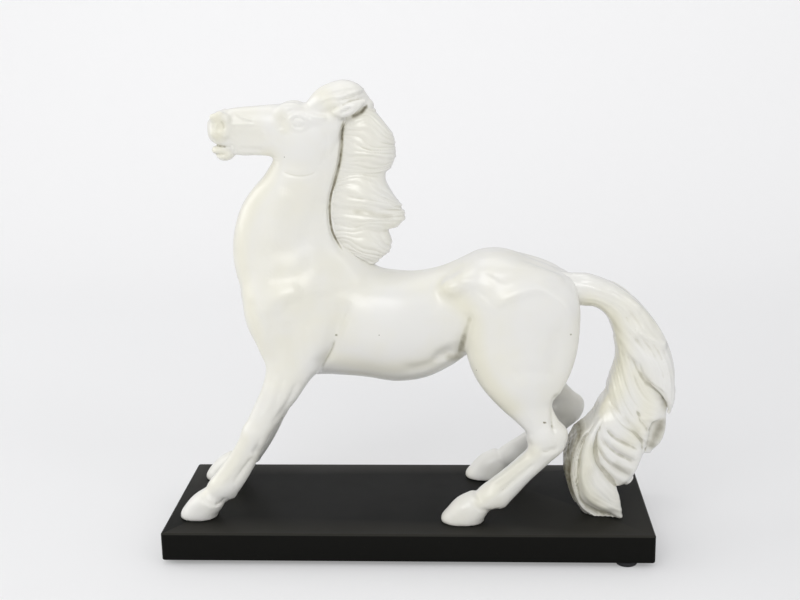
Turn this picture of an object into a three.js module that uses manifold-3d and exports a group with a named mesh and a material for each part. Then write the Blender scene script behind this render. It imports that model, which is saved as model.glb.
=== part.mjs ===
// A cast-resin horse sculpture on a lacquered plinth: eight glued castings, the pins that carry their
// seams, and the studs, washers and nuts that hold the hooves and the tail to the board.
import * as THREE from 'three';
import { mergeVertices } from 'three/addons/utils/BufferGeometryUtils.js';
import Module from 'manifold-3d';

const wasm = await Module();
wasm.setup();

// Plinth
const plinthLength = 400;
const plinthDepth = 152;
const plinthThickness = 24;
const plinthCornerRadius = 2.5;
const plinthEdgeRadius = 1.6;

// Rubber feet, stuck under the plinth
const footDiameter = 18;
const footHeight = 4.4;
const footEdge = 1.2;
const glueLine = 0.2;
const footEndInset = 22;
const frontRightFootInset = 10;
const frontLeftFootInset = 20;
const rearFootInset = 20;

// Fixings under each hoof and under the tail
const studDiameter = 5;
const studDepthInHoof = 13;
const studClearance = 0.3;
const counterboreDiameter = 20;
const counterboreDepth = 13;
const washerDiameter = 15;
const washerThickness = 1.2;
const nutAcrossFlats = 8;
const nutThickness = 4;
const nutChamfer = 0.5;
const stackGap = 0.3;
const studTail = 2;

// Steel pins across the glued seams
const pinDiameter = 6;
const pinLength = 32;
const pinClearance = 0.3;
const pinChamfer = 0.6;
const manePinLength = 24;

// Glue gap between two castings, and under the soles
const seam = 0.4;
const soleGap = 0.3;

// Fineness of the round work
const limbSides = 12;
const trunkSides = 16;
const lockSides = 8;
const earSides = 7;
const roundSides = 12;

// Every station of a form is a pair of outline points seen from the side, x and z at the front or top and
// x and z at the rear or bottom, then the sideways centre y and the half width. All are millimetres from
// the centre of the plinth's upper face, with x towards the tail and y away from the near side.
const trunkStations = [
  [-136, 184, -134, 168, 0, 10],
  [-131, 196, -129, 152, 0, 26],
  [-117, 205, -120, 136, 0, 35],
  [-98, 211, -105, 124, 0, 38],
  [-76, 215, -86, 114, 0, 38],
  [-50, 217, -64, 113, 0, 37],
  [-24, 204, -36, 111, 0, 37],
  [4, 200, -7, 107, 0, 37],
  [28, 204, 18, 111, 0, 35],
  [46, 211, 38, 121, 0, 34],
  [62, 217, 56, 133, 0, 35],
  [80, 217, 77, 134, 0, 38],
  [102, 210, 99, 130, 0, 39],
  [122, 202, 119, 126, 0, 35],
  [135, 193, 133, 132, 0, 26],
  [141, 178, 139, 150, 0, 11],
];

const neckStations = [
  [-134, 186, -44, 198, 0, 30],
  [-141, 206, -44, 216, 0, 31],
  [-142, 222, -50, 232, 0, 28],
  [-139, 241, -53, 250, 0, 25],
  [-133, 257, -51, 266, 0, 22],
  [-124, 270, -48, 282, 0, 19],
  [-114, 281, -45, 297, 0, 17],
  [-106, 293, -43, 313, 0, 15],
  [-96, 310, -44, 327, 0, 12],
];

const headStations = [
  [-38, 338, -46, 322, 0, 9],
  [-49, 345, -54, 304, 0, 16],
  [-64, 345, -66, 287, 0, 20],
  [-81, 342, -82, 282, 0, 21],
  [-95, 340, -96, 288, 0, 18.5],
  [-107, 338, -108, 298, 0, 15],
  [-120, 337, -120, 300, 0, 12.5],
  [-134, 336, -132, 299, 0, 12],
  [-145, 334, -144, 294, 0, 13.5],
  [-154, 331, -152, 297, 0, 12.5],
  [-158, 325, -157, 306, 0, 7],
];

const forelockStations = [
  [-82, 343, -80, 336, 0, 7],
  [-72, 350, -70, 332, 0, 13],
  [-58, 356, -58, 330, 0, 16],
  [-43, 357, -46, 330, 0, 17],
  [-32, 351, -38, 330, 0, 15],
  [-25, 341, -34, 331, 0, 10],
];

// The near ear lies back along the head; the far one mirrors it
const earStations = [
  [-55, 337, -54, 327, -15, 3],
  [-46, 341, -45, 328, -18, 5],
  [-36, 343, -35, 333, -18, 4],
  [-27, 341, -27, 338, -16, 1.5],
];

const foreLegStations = [
  [-121, 186, -58, 190, -20, 10],
  [-124, 164, -57, 167, -23, 15],
  [-119, 143, -61, 143, -25, 16],
  [-115, 125, -73, 124, -28, 14.5],
  [-119, 109, -86, 106, -31, 12.5],
  [-127, 92, -99, 90, -33, 11],
  [-135, 76, -110, 73, -35, 10],
  [-142, 63, -120, 58, -36, 9.5],
  [-152, 48, -131, 42, -37, 8.5],
  [-161, 36, -139, 29, -38, 8.5],
  [-168, 27, -145, 19, -38, 9.5],
  [-171, 19, -154, 11, -38.5, 9.5],
];

const foreHoofStations = [
  [-170, 23, -154, 13, -38.5, 9],
  [-178, 18, -154, 12, -39, 12],
  [-187, 9, -156.5, 7, -39, 13.8],
  [-191, 2, -159, 2, -39, 14.5],
  [-190, 0, -160, 0, -39, 13.8],
];

const hindLegStations = [
  [62, 204, 126, 196, -20, 10],
  [54, 184, 139, 180, -23, 16],
  [50, 158, 141, 158, -24, 18],
  [50, 136, 139, 138, -26, 18],
  [57, 117, 134, 121, -28, 17],
  [68, 102, 126, 106, -31, 15],
  [80, 90, 119, 96, -33, 12.5],
  [92, 80, 124, 84, -35, 11],
  [100, 71, 131, 74, -37, 10.5],
  [100, 62, 130, 60, -38, 10.5],
  [91, 52, 116, 47, -39, 9.5],
  [79, 42, 100, 33, -41, 8.5],
  [66, 32, 89, 20, -43, 8.5],
  [58, 25, 82, 11, -45, 9.5],
  [51, 20, 68, 8, -46, 9.5],
];

const hindHoofStations = [
  [52, 24, 68, 13, -46, 9],
  [41, 18, 67, 11, -46, 12],
  [32, 9, 66, 6, -46, 14],
  [27.5, 2, 64, 2, -46, 14.8],
  [28.5, 0, 63, 0, -46, 14],
];

const maneStations = [
  [-46, 336, -26, 338, -1, 9],
  [-48, 322, -15, 322, -1, 13],
  [-52, 306, -8, 308, -1, 15],
  [-54, 292, -7, 294, -1, 15],
  [-56, 281, -15, 279, -1, 13],
  [-60, 269, -11, 267, -1, 15],
  [-64, 255, -3, 252, -1, 17],
  [-64, 242, -1, 242, -1, 17],
  [-62, 233, -6, 233, -1, 15],
  [-56, 223, -12, 224, -1, 14],
  [-46, 214, -17, 216, -1, 11],
  [-34, 208, -23, 211, -1, 6],
];

// The tail is a core with locks laid over it. The locks are those of the near face, from the root to the
// tip, and each is mirrored to the far face about the middle of the core.
const tailCoreStations = [
  [118, 201, 122, 172, -2, 9],
  [142, 197.5, 141, 171.5, -3, 11],
  [159, 193.5, 153, 171.5, -4, 12],
  [175.5, 184, 162.5, 168, -5, 12],
  [188, 172, 167, 159, -5, 11.5],
  [199, 155, 171, 146, -8, 11],
  [206, 140, 172, 132, -10, 11],
  [209, 124, 168.5, 120, -12, 11.5],
  [208, 106, 164.5, 106, -14, 12],
  [205, 89, 159.5, 92, -16, 12],
  [200, 73, 148, 73, -19, 12],
  [193, 57, 137, 56, -21.5, 12],
  [180, 42, 135, 45, -23, 11],
  [174, 28, 137, 30, -25, 10.5],
  [168, 17, 140, 15, -26, 10],
  [168, 5, 143, 6, -27, 10],
  [168, 0, 145, 0, -27, 10],
];

const tailLocks = {
  crown: [
    [138, 198, 135, 180, -3, 6],
    [150, 197.5, 144.5, 172.5, -5, 10],
    [163, 193.5, 153, 171.5, -6, 12],
    [178, 184.5, 163, 164, -7, 13],
    [192, 173.5, 168.5, 154, -9, 14],
    [205, 157.5, 171, 144, -12, 14.5],
    [212, 145, 174.5, 136, -15, 15],
    [216.5, 132.5, 182, 130.5, -18.5, 15],
    [218.5, 122, 187, 122, -21, 14.5],
    [219, 112.5, 194.5, 113, -24, 13],
    [219, 103.5, 203.5, 106.5, -26.5, 10.5],
    [217.5, 94.5, 210.5, 98, -28.5, 7],
    [215.5, 86.5, 213, 90, -29, 2.5],
  ],
  turnedUnder: [
    [210, 104, 198, 100, -17, 4],
    [213.5, 95, 197, 91, -19, 8.5],
    [213, 84, 195, 80, -21.5, 10.5],
    [212.3, 72, 194, 70, -23, 10.5],
    [209, 62.5, 193.5, 61.5, -24.5, 9.5],
    [202, 54.5, 193, 55, -26, 6],
  ],
  middle: [
    [190, 150, 170, 146, -8.5, 12.5],
    [203, 126, 170.5, 125, -14, 14],
    [207, 114, 167, 115, -17, 13.5],
    [210, 103, 164, 105, -20, 13.5],
    [211, 94, 165, 94, -22.5, 13.5],
    [210.5, 86, 169.5, 86.5, -25, 12.5],
    [203, 79, 175.5, 79.5, -27.5, 10.5],
    [197, 62, 189.5, 67, -31, 5.5],
    [194.5, 52.5, 193, 54, -32, 2],
  ],
  sweep: [
    [166, 107, 162, 103, -17, 3],
    [170, 98, 157, 92, -21, 8.5],
    [178, 88, 152.5, 78, -26, 12],
    [188, 77, 152, 62, -28.5, 13],
    [193.5, 66, 154, 47, -29.5, 13],
    [194, 55, 163, 33, -30, 12],
    [190.5, 44, 172, 25, -31, 9.5],
    [186, 34, 178, 26, -31, 5],
  ],
  foot: [
    [170, 106, 167, 103, -19, 3],
    [161, 84, 153, 80, -27, 9.5],
    [156, 73, 145.5, 68, -30, 11.5],
    [154.5, 60, 141.5, 56, -31, 12],
    [157.5, 47, 140, 41, -32, 12],
    [163.5, 38, 139.5, 27, -33, 11.5],
    [170, 30, 142.5, 15.5, -34, 11.5],
    [174.5, 20, 152, 7.5, -35, 10],
    [176.5, 9, 166, 3, -36.5, 8],
    [177.5, 3, 172, -1, -38, 6],
  ],
  innerEdge: [
    [168, 107, 165, 104, -15, 3],
    [161, 88, 155.5, 84.5, -19.5, 11],
    [154.5, 78, 147, 75.5, -22, 13],
    [148.5, 69, 137.5, 67.5, -24, 14],
    [145, 56, 131, 54.5, -25, 14],
    [143.5, 42, 130, 41, -26, 13.5],
    [144, 28, 132.5, 27, -27, 12.5],
    [148, 15, 137, 12, -28, 11],
    [156, 5, 146, 1.5, -30, 9.5],
    [172, 2, 168, -2, -35, 7],
  ],
};

// The far legs repeat the near ones, moved along the plinth as the sculptor set them
const farForeLegShift = 7;
const farForeHoofShift = 4.5;
const farForeStance = 7;
const farHindLegShift = 20;
const farHindStance = 4;
const strideStartHeight = 130;

// Rounded masses that stand out from the lofts, on the far side and mirrored to the near one: the centre
// in x, y and z, the radii along, up and across, and the tilt in the side view in degrees
const masses = {
  shoulder: { centre: [-94, 19, 176], radii: [33, 38, 20], tilt: -22 },
  upperArm: { centre: [-74, 24, 150], radii: [19, 31, 16.5], tilt: -24 },
  pointOfShoulder: { centre: [-106, 23, 158], radii: [11, 26, 14], tilt: -14 },
  chest: { centre: [-101, 19, 186], radii: [16, 9, 15], tilt: 40 },
  barrel: { centre: [-12, 13, 160], radii: [46, 34, 25.5], tilt: 0 },
  thigh: { centre: [97, 22, 162], radii: [39, 45, 19], tilt: 10 },
  croup: { centre: [72, 15, 190], radii: [30, 24, 19], tilt: 0 },
  buttock: { centre: [124, 12, 172], radii: [16, 26, 15], tilt: -12 },
  cheek: { centre: [-78, 8, 304.5], radii: [20.5, 20, 11], tilt: 0 },
  brow: { centre: [-90, 11, 334.5], radii: [9, 6, 4.8], tilt: 6 },
  nostril: { centre: [-145, 7.5, 322.5], radii: [9, 10, 5.8], tilt: 8 },
};

// Seams between the castings, drawn in the side view
const jawSeam = [
  [-128, 293], [-112, 290.5], [-104, 286], [-95, 281.5], [-85, 279.5], [-75, 280],
  [-66, 284], [-59, 294], [-54, 308], [-50, 320], [-46, 328],
];
const crestSeam = [
  [-46, 328], [-48.5, 310], [-50, 297], [-53, 284], [-57, 270], [-60, 256],
  [-59, 240], [-55, 228], [-47, 219.5], [-38, 212.5], [-27, 207.5], [-16, 205],
];
const dockSeam = [
  [122, 216], [127, 197], [134, 186], [141.5, 174], [142, 160],
];
const foreLegSeam = [[-210, 126], [-80, 126], [-80, 90], [-60, 60], [-60, -10], [-210, -10]];
const hindLegSeam = [[48, 127.5], [140, 112], [175, 106], [175, -10], [20, -10], [20, 100], [48, 110]];
const foreLegInner = 4;
const hindLegInner = 2;
const crownRise = 3;
const partingMargin = 12;

// Where the studs and pins stand, in the side view and across
const studPlaces = {
  near_foreleg: [-173, -39],
  far_foreleg: [-168.5, 46],
  near_hindleg: [47, -46],
  far_hindleg: [67, 50],
  tail: [157, -27],
};
const foreLegPin = { x: -98, y: -28, z: 126 };
const hindLegPin = { x: 94, y: -29, z: 120 };
const headPin = { x: -78, z: 280 };
const upperManePin = { x: -57, z: 271 };
const lowerManePin = { x: -58.5, z: 237 };
const dockPin = { x: 134, y: -3, z: 186, slope: -14 };

// Finishes
const resin = { color: 0xe9e6dc, roughness: 0.22, metalness: 0 };
const blackLacquer = { color: 0x1c1c1e, roughness: 0.38, metalness: 0 };
const rubber = { color: 0x26262a, roughness: 0.8, metalness: 0 };
const zincSteel = { color: 0xb6b9be, roughness: 0.35, metalness: 1 };

// A closed mesh from rows of rings, with a fan over each end
function closedFromRings(rings) {
  const count = rings[0].length;
  const positions = [];
  const faces = [];
  rings.flat().forEach((point) => positions.push(point.x, point.y, point.z));
  for (let row = 0; row < rings.length - 1; row += 1) {
    for (let side = 0; side < count; side += 1) {
      const next = (side + 1) % count;
      const here = row * count;
      const above = here + count;
      faces.push(here + side, here + next, above + next);
      faces.push(here + side, above + next, above + side);
    }
  }
  [0, rings.length - 1].forEach((row) => {
    const centre = new THREE.Vector3();
    rings[row].forEach((point) => centre.addScaledVector(point, 1 / count));
    const hub = positions.length / 3;
    positions.push(centre.x, centre.y, centre.z);
    for (let side = 0; side < count; side += 1) {
      const next = (side + 1) % count;
      const pair = [row * count + side, row * count + next];
      const fan = row === 0 ? [hub, pair[1], pair[0]] : [hub, pair[0], pair[1]];
      faces.push(...fan);
    }
  });
  const geometry = new THREE.BufferGeometry();
  geometry.setAttribute('position', new THREE.Float32BufferAttribute(positions, 3));
  geometry.setIndex(faces);
  return geometry;
}

// A form lofted through its stations with oval sections
function loft(stations, sides) {
  const rings = stations.map(([topX, topZ, lowX, lowZ, y, halfWidth]) => {
    const centre = new THREE.Vector3((topX + lowX) / 2, y, (topZ + lowZ) / 2);
    const reach = new THREE.Vector3((topX - lowX) / 2, 0, (topZ - lowZ) / 2);
    return Array.from({ length: sides }, (_, side) => {
      const angle = (side / sides) * Math.PI * 2;
      const point = centre.clone().addScaledVector(reach, Math.cos(angle));
      point.y += halfWidth * Math.sin(angle);
      return point;
    });
  });
  return solidOf(closedFromRings(rings));
}

// A solid for cutting and joining, with its faces turned outwards
function solidOf(source) {
  const bare = source.clone();
  bare.deleteAttribute('normal');
  bare.deleteAttribute('uv');
  const geometry = mergeVertices(bare);
  const vertProperties = new Float32Array(geometry.attributes.position.array);
  const triVerts = new Uint32Array(geometry.index.array);
  const corner = (index) => new THREE.Vector3().fromArray(vertProperties, index * 3);
  let volume = 0;
  for (let face = 0; face < triVerts.length; face += 3) {
    const cross = corner(triVerts[face + 1]).cross(corner(triVerts[face + 2]));
    volume += corner(triVerts[face]).dot(cross);
  }
  if (volume < 0) {
    triVerts.reverse();
  }
  return new wasm.Manifold(new wasm.Mesh({ numProp: 3, vertProperties, triVerts }));
}

function geometryOf(solid) {
  const mesh = solid.getMesh();
  const geometry = new THREE.BufferGeometry();
  geometry.setAttribute('position', new THREE.BufferAttribute(mesh.vertProperties, 3));
  geometry.setIndex(new THREE.BufferAttribute(mesh.triVerts, 1));
  geometry.computeVertexNormals();
  return geometry;
}

function joined(solids) {
  return solids.reduce((whole, next) => whole.add(next));
}

// An outline in the side view grown by a distance, its corners mitred
function grownOutline(outline, distance) {
  const points = outline.map(([x, z]) => new THREE.Vector2(x, z));
  const turn = Math.sign(THREE.ShapeUtils.area(points));
  return points.map((point, index) => {
    const before = points[(index + points.length - 1) % points.length];
    const after = points[(index + 1) % points.length];
    const arriving = point.clone().sub(before).normalize();
    const leaving = after.clone().sub(point).normalize();
    const out = new THREE.Vector2(arriving.y + leaving.y, -arriving.x - leaving.x).normalize();
    const mitre = 1 / Math.max(0.4, out.x * arriving.y - out.y * arriving.x);
    const moved = point.clone().addScaledVector(out, turn * distance * mitre);
    return [moved.x, moved.y];
  });
}

// A region of the figure: a side-view outline carried across from one y to another
function region(outline, fromY, toY, growth = 0) {
  const corners = growth ? grownOutline(outline, growth) : outline;
  const shape = new THREE.Shape(corners.map(([x, z]) => new THREE.Vector2(x, z)));
  const depth = toY - fromY + growth * 2;
  const slab = new THREE.ExtrudeGeometry(shape, { depth, bevelEnabled: false });
  slab.rotateX(Math.PI / 2);
  slab.translate(0, toY + growth, 0);
  return solidOf(slab);
}

function mass({ centre: [x, y, z], radii: [along, up, across], tilt }, side) {
  const ball = new THREE.SphereGeometry(1, roundSides, roundSides / 2);
  ball.scale(along, across, up);
  ball.rotateY(THREE.MathUtils.degToRad(tilt));
  ball.translate(x, y * side, z);
  return solidOf(ball);
}

// A turned piece: a profile of radius and height round an upright axis, its lowest point at the origin
function turned(profile) {
  const points = profile.map(([radius, height]) => new THREE.Vector2(radius, height));
  const geometry = new THREE.LatheGeometry(points, roundSides);
  geometry.rotateX(Math.PI / 2);
  return geometry;
}

function rod(diameter, length, chamfer = 0) {
  const radius = diameter / 2;
  return turned([
    [0, 0], [radius - chamfer, 0], [radius, chamfer],
    [radius, length - chamfer], [radius - chamfer, length], [0, length],
  ]);
}

function bore(diameter, length) {
  return turned([[0, 0], [diameter / 2, 0], [diameter / 2, length], [0, length]]);
}

// The near and far copy of a limb's stations
function farLimb(stations, shiftAt, stance) {
  return stations.map(([topX, topZ, lowX, lowZ, y, halfWidth]) => {
    const drop = THREE.MathUtils.clamp(1 - (topZ + lowZ) / 2 / strideStartHeight, 0, 1);
    const shift = shiftAt(drop);
    return [topX + shift, topZ, lowX + shift, lowZ, -y + stance * drop, halfWidth];
  });
}

function legSolid(legStations, hoofStations) {
  return loft(legStations, limbSides).add(loft(hoofStations, limbSides));
}

const strideEase = (drop) => Math.min(1, drop * 2.5);
const farForeShiftAt = (drop) => farForeLegShift * strideEase(drop);
const farHindShiftAt = (drop) => farHindLegShift * strideEase(drop);
const nearForeLeg = legSolid(foreLegStations, foreHoofStations);
const farForeLeg = legSolid(
  farLimb(foreLegStations, farForeShiftAt, farForeStance),
  farLimb(foreHoofStations, () => farForeHoofShift, farForeStance),
);
const nearHindLeg = legSolid(hindLegStations, hindHoofStations);
const farHindLeg = legSolid(
  farLimb(hindLegStations, farHindShiftAt, farHindStance),
  farLimb(hindHoofStations, () => farHindLegShift, farHindStance),
);

const mirrored = (stations, middleAt = () => 0) => stations.map((row) => (
  [...row.slice(0, 4), 2 * middleAt((row[1] + row[3]) / 2) - row[4], row[5]]
));

// The y of the middle of the tail's core at a height
function tailMiddleAt(height) {
  const rows = tailCoreStations.map(([, topZ, , lowZ, y]) => [(topZ + lowZ) / 2, y]);
  const below = rows.findIndex(([z]) => z <= height);
  if (below < 1) {
    return rows.at(below)[1];
  }
  const [[upperZ, upperY], [lowerZ, lowerY]] = [rows[below - 1], rows[below]];
  return THREE.MathUtils.mapLinear(height, upperZ, lowerZ, upperY, lowerY);
}

// The whole figure but for mane and tail, before it is parted into its castings
const figure = joined([
  loft(trunkStations, trunkSides),
  loft(neckStations, trunkSides),
  loft(headStations, trunkSides),
  loft(forelockStations, limbSides),
  loft(earStations, earSides),
  loft(mirrored(earStations), earSides),
  nearForeLeg,
  farForeLeg,
  nearHindLeg,
  farHindLeg,
  ...Object.values(masses).flatMap((shape) => [mass(shape, -1), mass(shape, 1)]),
]);

// How far the outlines that part the figure reach: past the forms on each side
const reachOf = (stations) => ({
  front: Math.min(...stations.flatMap(([topX, , lowX]) => [topX, lowX])) - partingMargin,
  rear: Math.max(...stations.flatMap(([topX, , lowX]) => [topX, lowX])) + partingMargin,
  top: Math.max(...stations.flatMap(([, topZ, , lowZ]) => [topZ, lowZ])) + partingMargin,
});
const hairTop = Math.max(reachOf(forelockStations).top, reachOf(headStations).top, reachOf(maneStations).top);
const noseReach = reachOf(headStations).front;
const maneReach = reachOf(maneStations).rear;
const rumpReach = reachOf(tailCoreStations).front;
const tailReach = reachOf(Object.values(tailLocks).flat()).rear;
const acrossAll = plinthDepth / 2 + partingMargin;

// Regions that part the figure into castings

const headOutline = [
  ...jawSeam, [maneReach, jawSeam.at(-1)[1] + crownRise], [maneReach, hairTop], [noseReach, hairTop],
  [noseReach, jawSeam[0][1]],
];
const maneOutline = [
  ...crestSeam, [maneReach, crestSeam.at(-1)[1]], [maneReach, hairTop - partingMargin],
  [crestSeam[0][0], hairTop - partingMargin],
];
const dockTop = dockSeam[0][1];
const dockFoot = dockSeam.at(-1)[1];
const tailOutline = [...dockSeam, [tailReach, dockFoot], [tailReach, dockTop]];
const rumpOutline = [...dockSeam, [rumpReach, dockFoot], [rumpReach, dockTop]];
const limbRegions = {
  near_foreleg: [foreLegSeam, -acrossAll, -foreLegInner],
  far_foreleg: [foreLegSeam, foreLegInner, acrossAll],
  near_hindleg: [hindLegSeam, -acrossAll, -hindLegInner],
  far_hindleg: [hindLegSeam, hindLegInner, acrossAll],
};
const headRegion = region(headOutline, -acrossAll, acrossAll);
const bodyCutters = [
  region(headOutline, -acrossAll, acrossAll, seam),
  region(maneOutline, -acrossAll, acrossAll, seam),
  region(tailOutline, -acrossAll, acrossAll, seam),
  ...Object.values(limbRegions).map(([outline, fromY, toY]) => region(outline, fromY, toY, seam)),
];

// Pins: each stands across a seam, and both castings are bored for it
function pinAt({ x, y = 0, z }, length, axis) {
  const turn = new THREE.Quaternion().setFromUnitVectors(new THREE.Vector3(0, 0, 1), axis);
  const place = (geometry, long) => {
    geometry.translate(0, 0, -long / 2);
    geometry.applyQuaternion(turn);
    geometry.translate(x, y, z);
    return geometry;
  };
  const holeLength = length + pinClearance * 2;
  return {
    geometry: place(rod(pinDiameter, length, pinChamfer), length),
    hole: solidOf(place(bore(pinDiameter + pinClearance * 2, holeLength), holeLength)),
  };
}

const upright = new THREE.Vector3(0, 0, 1);
const lengthways = new THREE.Vector3(1, 0, 0);
const dockAxis = lengthways.clone().applyAxisAngle(
  new THREE.Vector3(0, 1, 0),
  THREE.MathUtils.degToRad(-dockPin.slope),
);
const acrossTo = (pin) => ({ ...pin, y: -pin.y });
const pins = {
  pin_near_foreleg: pinAt(foreLegPin, pinLength, upright),
  pin_far_foreleg: pinAt(acrossTo(foreLegPin), pinLength, upright),
  pin_near_hindleg: pinAt(hindLegPin, pinLength, upright),
  pin_far_hindleg: pinAt(acrossTo(hindLegPin), pinLength, upright),
  pin_head: pinAt(headPin, pinLength, upright),
  pin_mane_upper: pinAt(upperManePin, manePinLength, lengthways),
  pin_mane_lower: pinAt(lowerManePin, manePinLength, lengthways),
  pin_dock: pinAt(dockPin, pinLength, dockAxis),
};

// Studs stand in the soles and pass through the plinth to their nuts
const seatHeight = counterboreDepth - plinthThickness;
const stackHeight = stackGap * 2 + washerThickness + nutThickness;
const studBottom = seatHeight - stackHeight - studTail;
const studLength = studDepthInHoof - studBottom;
const studHoleDiameter = studDiameter + studClearance * 2;

function studHole([x, y]) {
  const hole = bore(studHoleDiameter, studDepthInHoof + studClearance + plinthThickness);
  hole.translate(x, y, -plinthThickness);
  return solidOf(hole);
}

const boredFor = (solid, holes) => holes.reduce((left, hole) => left.subtract(hole), solid);
const aboveGround = region(
  [[-plinthLength, soleGap], [plinthLength, soleGap], [plinthLength, hairTop], [-plinthLength, hairTop]],
  -acrossAll, acrossAll,
);

const bodyCasting = boredFor(boredFor(figure, bodyCutters), Object.values(pins).map((pin) => pin.hole));
const headCasting = boredFor(figure.intersect(headRegion), [pins.pin_head.hole]);
const maneCasting = boredFor(
  loft(maneStations, limbSides).intersect(region(maneOutline, -acrossAll, acrossAll)),
  [region(headOutline, -acrossAll, acrossAll, seam), pins.pin_mane_upper.hole, pins.pin_mane_lower.hole],
);
const tailForms = [
  loft(tailCoreStations, trunkSides),
  ...Object.values(tailLocks).flatMap((lock) => (
    [loft(lock, lockSides), loft(mirrored(lock, tailMiddleAt), lockSides)]
  )),
];
const tailCasting = boredFor(
  joined(tailForms).intersect(aboveGround),
  [region(rumpOutline, -acrossAll, acrossAll), pins.pin_dock.hole, studHole(studPlaces.tail)],
);

function limbCasting(name) {
  const limb = figure.intersect(region(...limbRegions[name])).intersect(aboveGround);
  return boredFor(limb, [pins[`pin_${name}`].hole, studHole(studPlaces[name])]);
}

// The plinth: a board with eased edges, bored through and counterbored from beneath
function roundedBoard() {
  const halfLength = plinthLength / 2 - plinthEdgeRadius;
  const halfDepth = plinthDepth / 2 - plinthEdgeRadius;
  const corner = plinthCornerRadius;
  const shape = new THREE.Shape();
  shape.moveTo(-halfLength + corner, -halfDepth);
  shape.lineTo(halfLength - corner, -halfDepth);
  shape.absarc(halfLength - corner, -halfDepth + corner, corner, -Math.PI / 2, 0);
  shape.absarc(halfLength - corner, halfDepth - corner, corner, 0, Math.PI / 2);
  shape.absarc(-halfLength + corner, halfDepth - corner, corner, Math.PI / 2, Math.PI);
  shape.absarc(-halfLength + corner, -halfDepth + corner, corner, Math.PI, Math.PI * 1.5);
  const board = new THREE.ExtrudeGeometry(shape, {
    depth: plinthThickness - plinthEdgeRadius * 2,
    bevelThickness: plinthEdgeRadius,
    bevelSize: plinthEdgeRadius,
    bevelSegments: 3,
    curveSegments: 4,
  });
  board.translate(0, 0, plinthEdgeRadius - plinthThickness);
  return solidOf(board);
}

function plinthCasting() {
  const cuts = Object.values(studPlaces).flatMap(([x, y]) => {
    const counterbore = bore(counterboreDiameter, counterboreDepth + plinthEdgeRadius);
    counterbore.translate(x, y, -plinthThickness - plinthEdgeRadius);
    const through = bore(studHoleDiameter, plinthThickness * 2);
    through.translate(x, y, -plinthThickness * 1.5);
    return [solidOf(counterbore), solidOf(through)];
  });
  return boredFor(roundedBoard(), cuts);
}

function washer() {
  const inner = studHoleDiameter / 2;
  const outer = washerDiameter / 2;
  return turned([
    [inner, 0], [outer, 0], [outer, washerThickness], [inner, washerThickness], [inner, 0],
  ]);
}

// A hexagon nut: a six-sided prism with chamfered corners and a round bore
function hexNut() {
  const radius = nutAcrossFlats / 2 / Math.cos(Math.PI / 6);
  const hexagon = new THREE.Shape(Array.from({ length: 6 }, (_, index) => {
    const angle = (index / 6) * Math.PI * 2;
    return new THREE.Vector2(Math.cos(angle) * radius, Math.sin(angle) * radius);
  }));
  const prism = new THREE.ExtrudeGeometry(hexagon, { depth: nutThickness, bevelEnabled: false });
  const crown = turned([
    [0, 0], [radius - nutChamfer, 0], [radius, nutChamfer],
    [radius, nutThickness - nutChamfer], [radius - nutChamfer, nutThickness], [0, nutThickness],
  ]);
  const hole = bore(studHoleDiameter, nutThickness * 3);
  hole.translate(0, 0, -nutThickness);
  return geometryOf(solidOf(prism).intersect(solidOf(crown)).subtract(solidOf(hole)));
}

// A stick-on bumper: wide at the board, its lower rim rounded, flat where it stands
function rubberFoot() {
  const radius = footDiameter / 2;
  const flat = radius - footEdge * 2;
  return turned([
    [0, 0], [flat, 0], [radius - footEdge, footEdge * 0.35], [radius - footEdge * 0.3, footEdge],
    [radius, footHeight * 0.6], [radius, footHeight - glueLine], [0, footHeight - glueLine],
  ]);
}

// Put together
const sculpture = new THREE.Group();
sculpture.name = 'horse_sculpture';
const standing = new THREE.Group();
sculpture.add(standing);

function addPiece(name, geometry, finish, x = 0, y = 0, z = 0) {
  const mesh = new THREE.Mesh(geometry, new THREE.MeshStandardMaterial(finish));
  mesh.name = name;
  mesh.position.set(x, y, z);
  standing.add(mesh);
  return mesh;
}

addPiece('plinth', geometryOf(plinthCasting()), blackLacquer);
addPiece('body_casting', geometryOf(bodyCasting), resin);
addPiece('head_casting', geometryOf(headCasting), resin);
addPiece('mane_casting', geometryOf(maneCasting), resin);
addPiece('tail_casting', geometryOf(tailCasting), resin);
Object.keys(limbRegions).forEach((name) => {
  addPiece(name, geometryOf(limbCasting(name)), resin);
});
Object.entries(pins).forEach(([name, pin]) => addPiece(name, pin.geometry, zincSteel));

Object.entries(studPlaces).forEach(([name, [x, y]]) => {
  const washerHeight = seatHeight - stackGap - washerThickness;
  const nutHeight = washerHeight - stackGap - nutThickness;
  addPiece(`stud_${name}`, rod(studDiameter, studLength, pinChamfer), zincSteel, x, y, studBottom);
  addPiece(`washer_${name}`, washer(), zincSteel, x, y, washerHeight);
  addPiece(`nut_${name}`, hexNut(), zincSteel, x, y, nutHeight);
});

const footEnd = plinthLength / 2 - footEndInset;
const footSide = plinthDepth / 2;
const footPlaces = {
  front_left: [-footEnd, -footSide + frontLeftFootInset],
  front_right: [footEnd, -footSide + frontRightFootInset],
  rear_left: [-footEnd, footSide - rearFootInset],
  rear_right: [footEnd, footSide - rearFootInset],
};
Object.entries(footPlaces).forEach(([name, [x, y]]) => {
  addPiece(`rubber_foot_${name}`, rubberFoot(), rubber, x, y, -plinthThickness - footHeight);
});

// The origin is on the ground, under the middle of the whole object
sculpture.updateMatrixWorld(true);
const extent = new THREE.Box3().setFromObject(sculpture);
const middle = extent.getCenter(new THREE.Vector3());
standing.position.set(-middle.x, -middle.y, -extent.min.z);
sculpture.updateMatrixWorld(true);

export default sculpture;
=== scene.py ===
import math

import bmesh
import bpy
import numpy as np
from mathutils import Matrix, Vector


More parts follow.
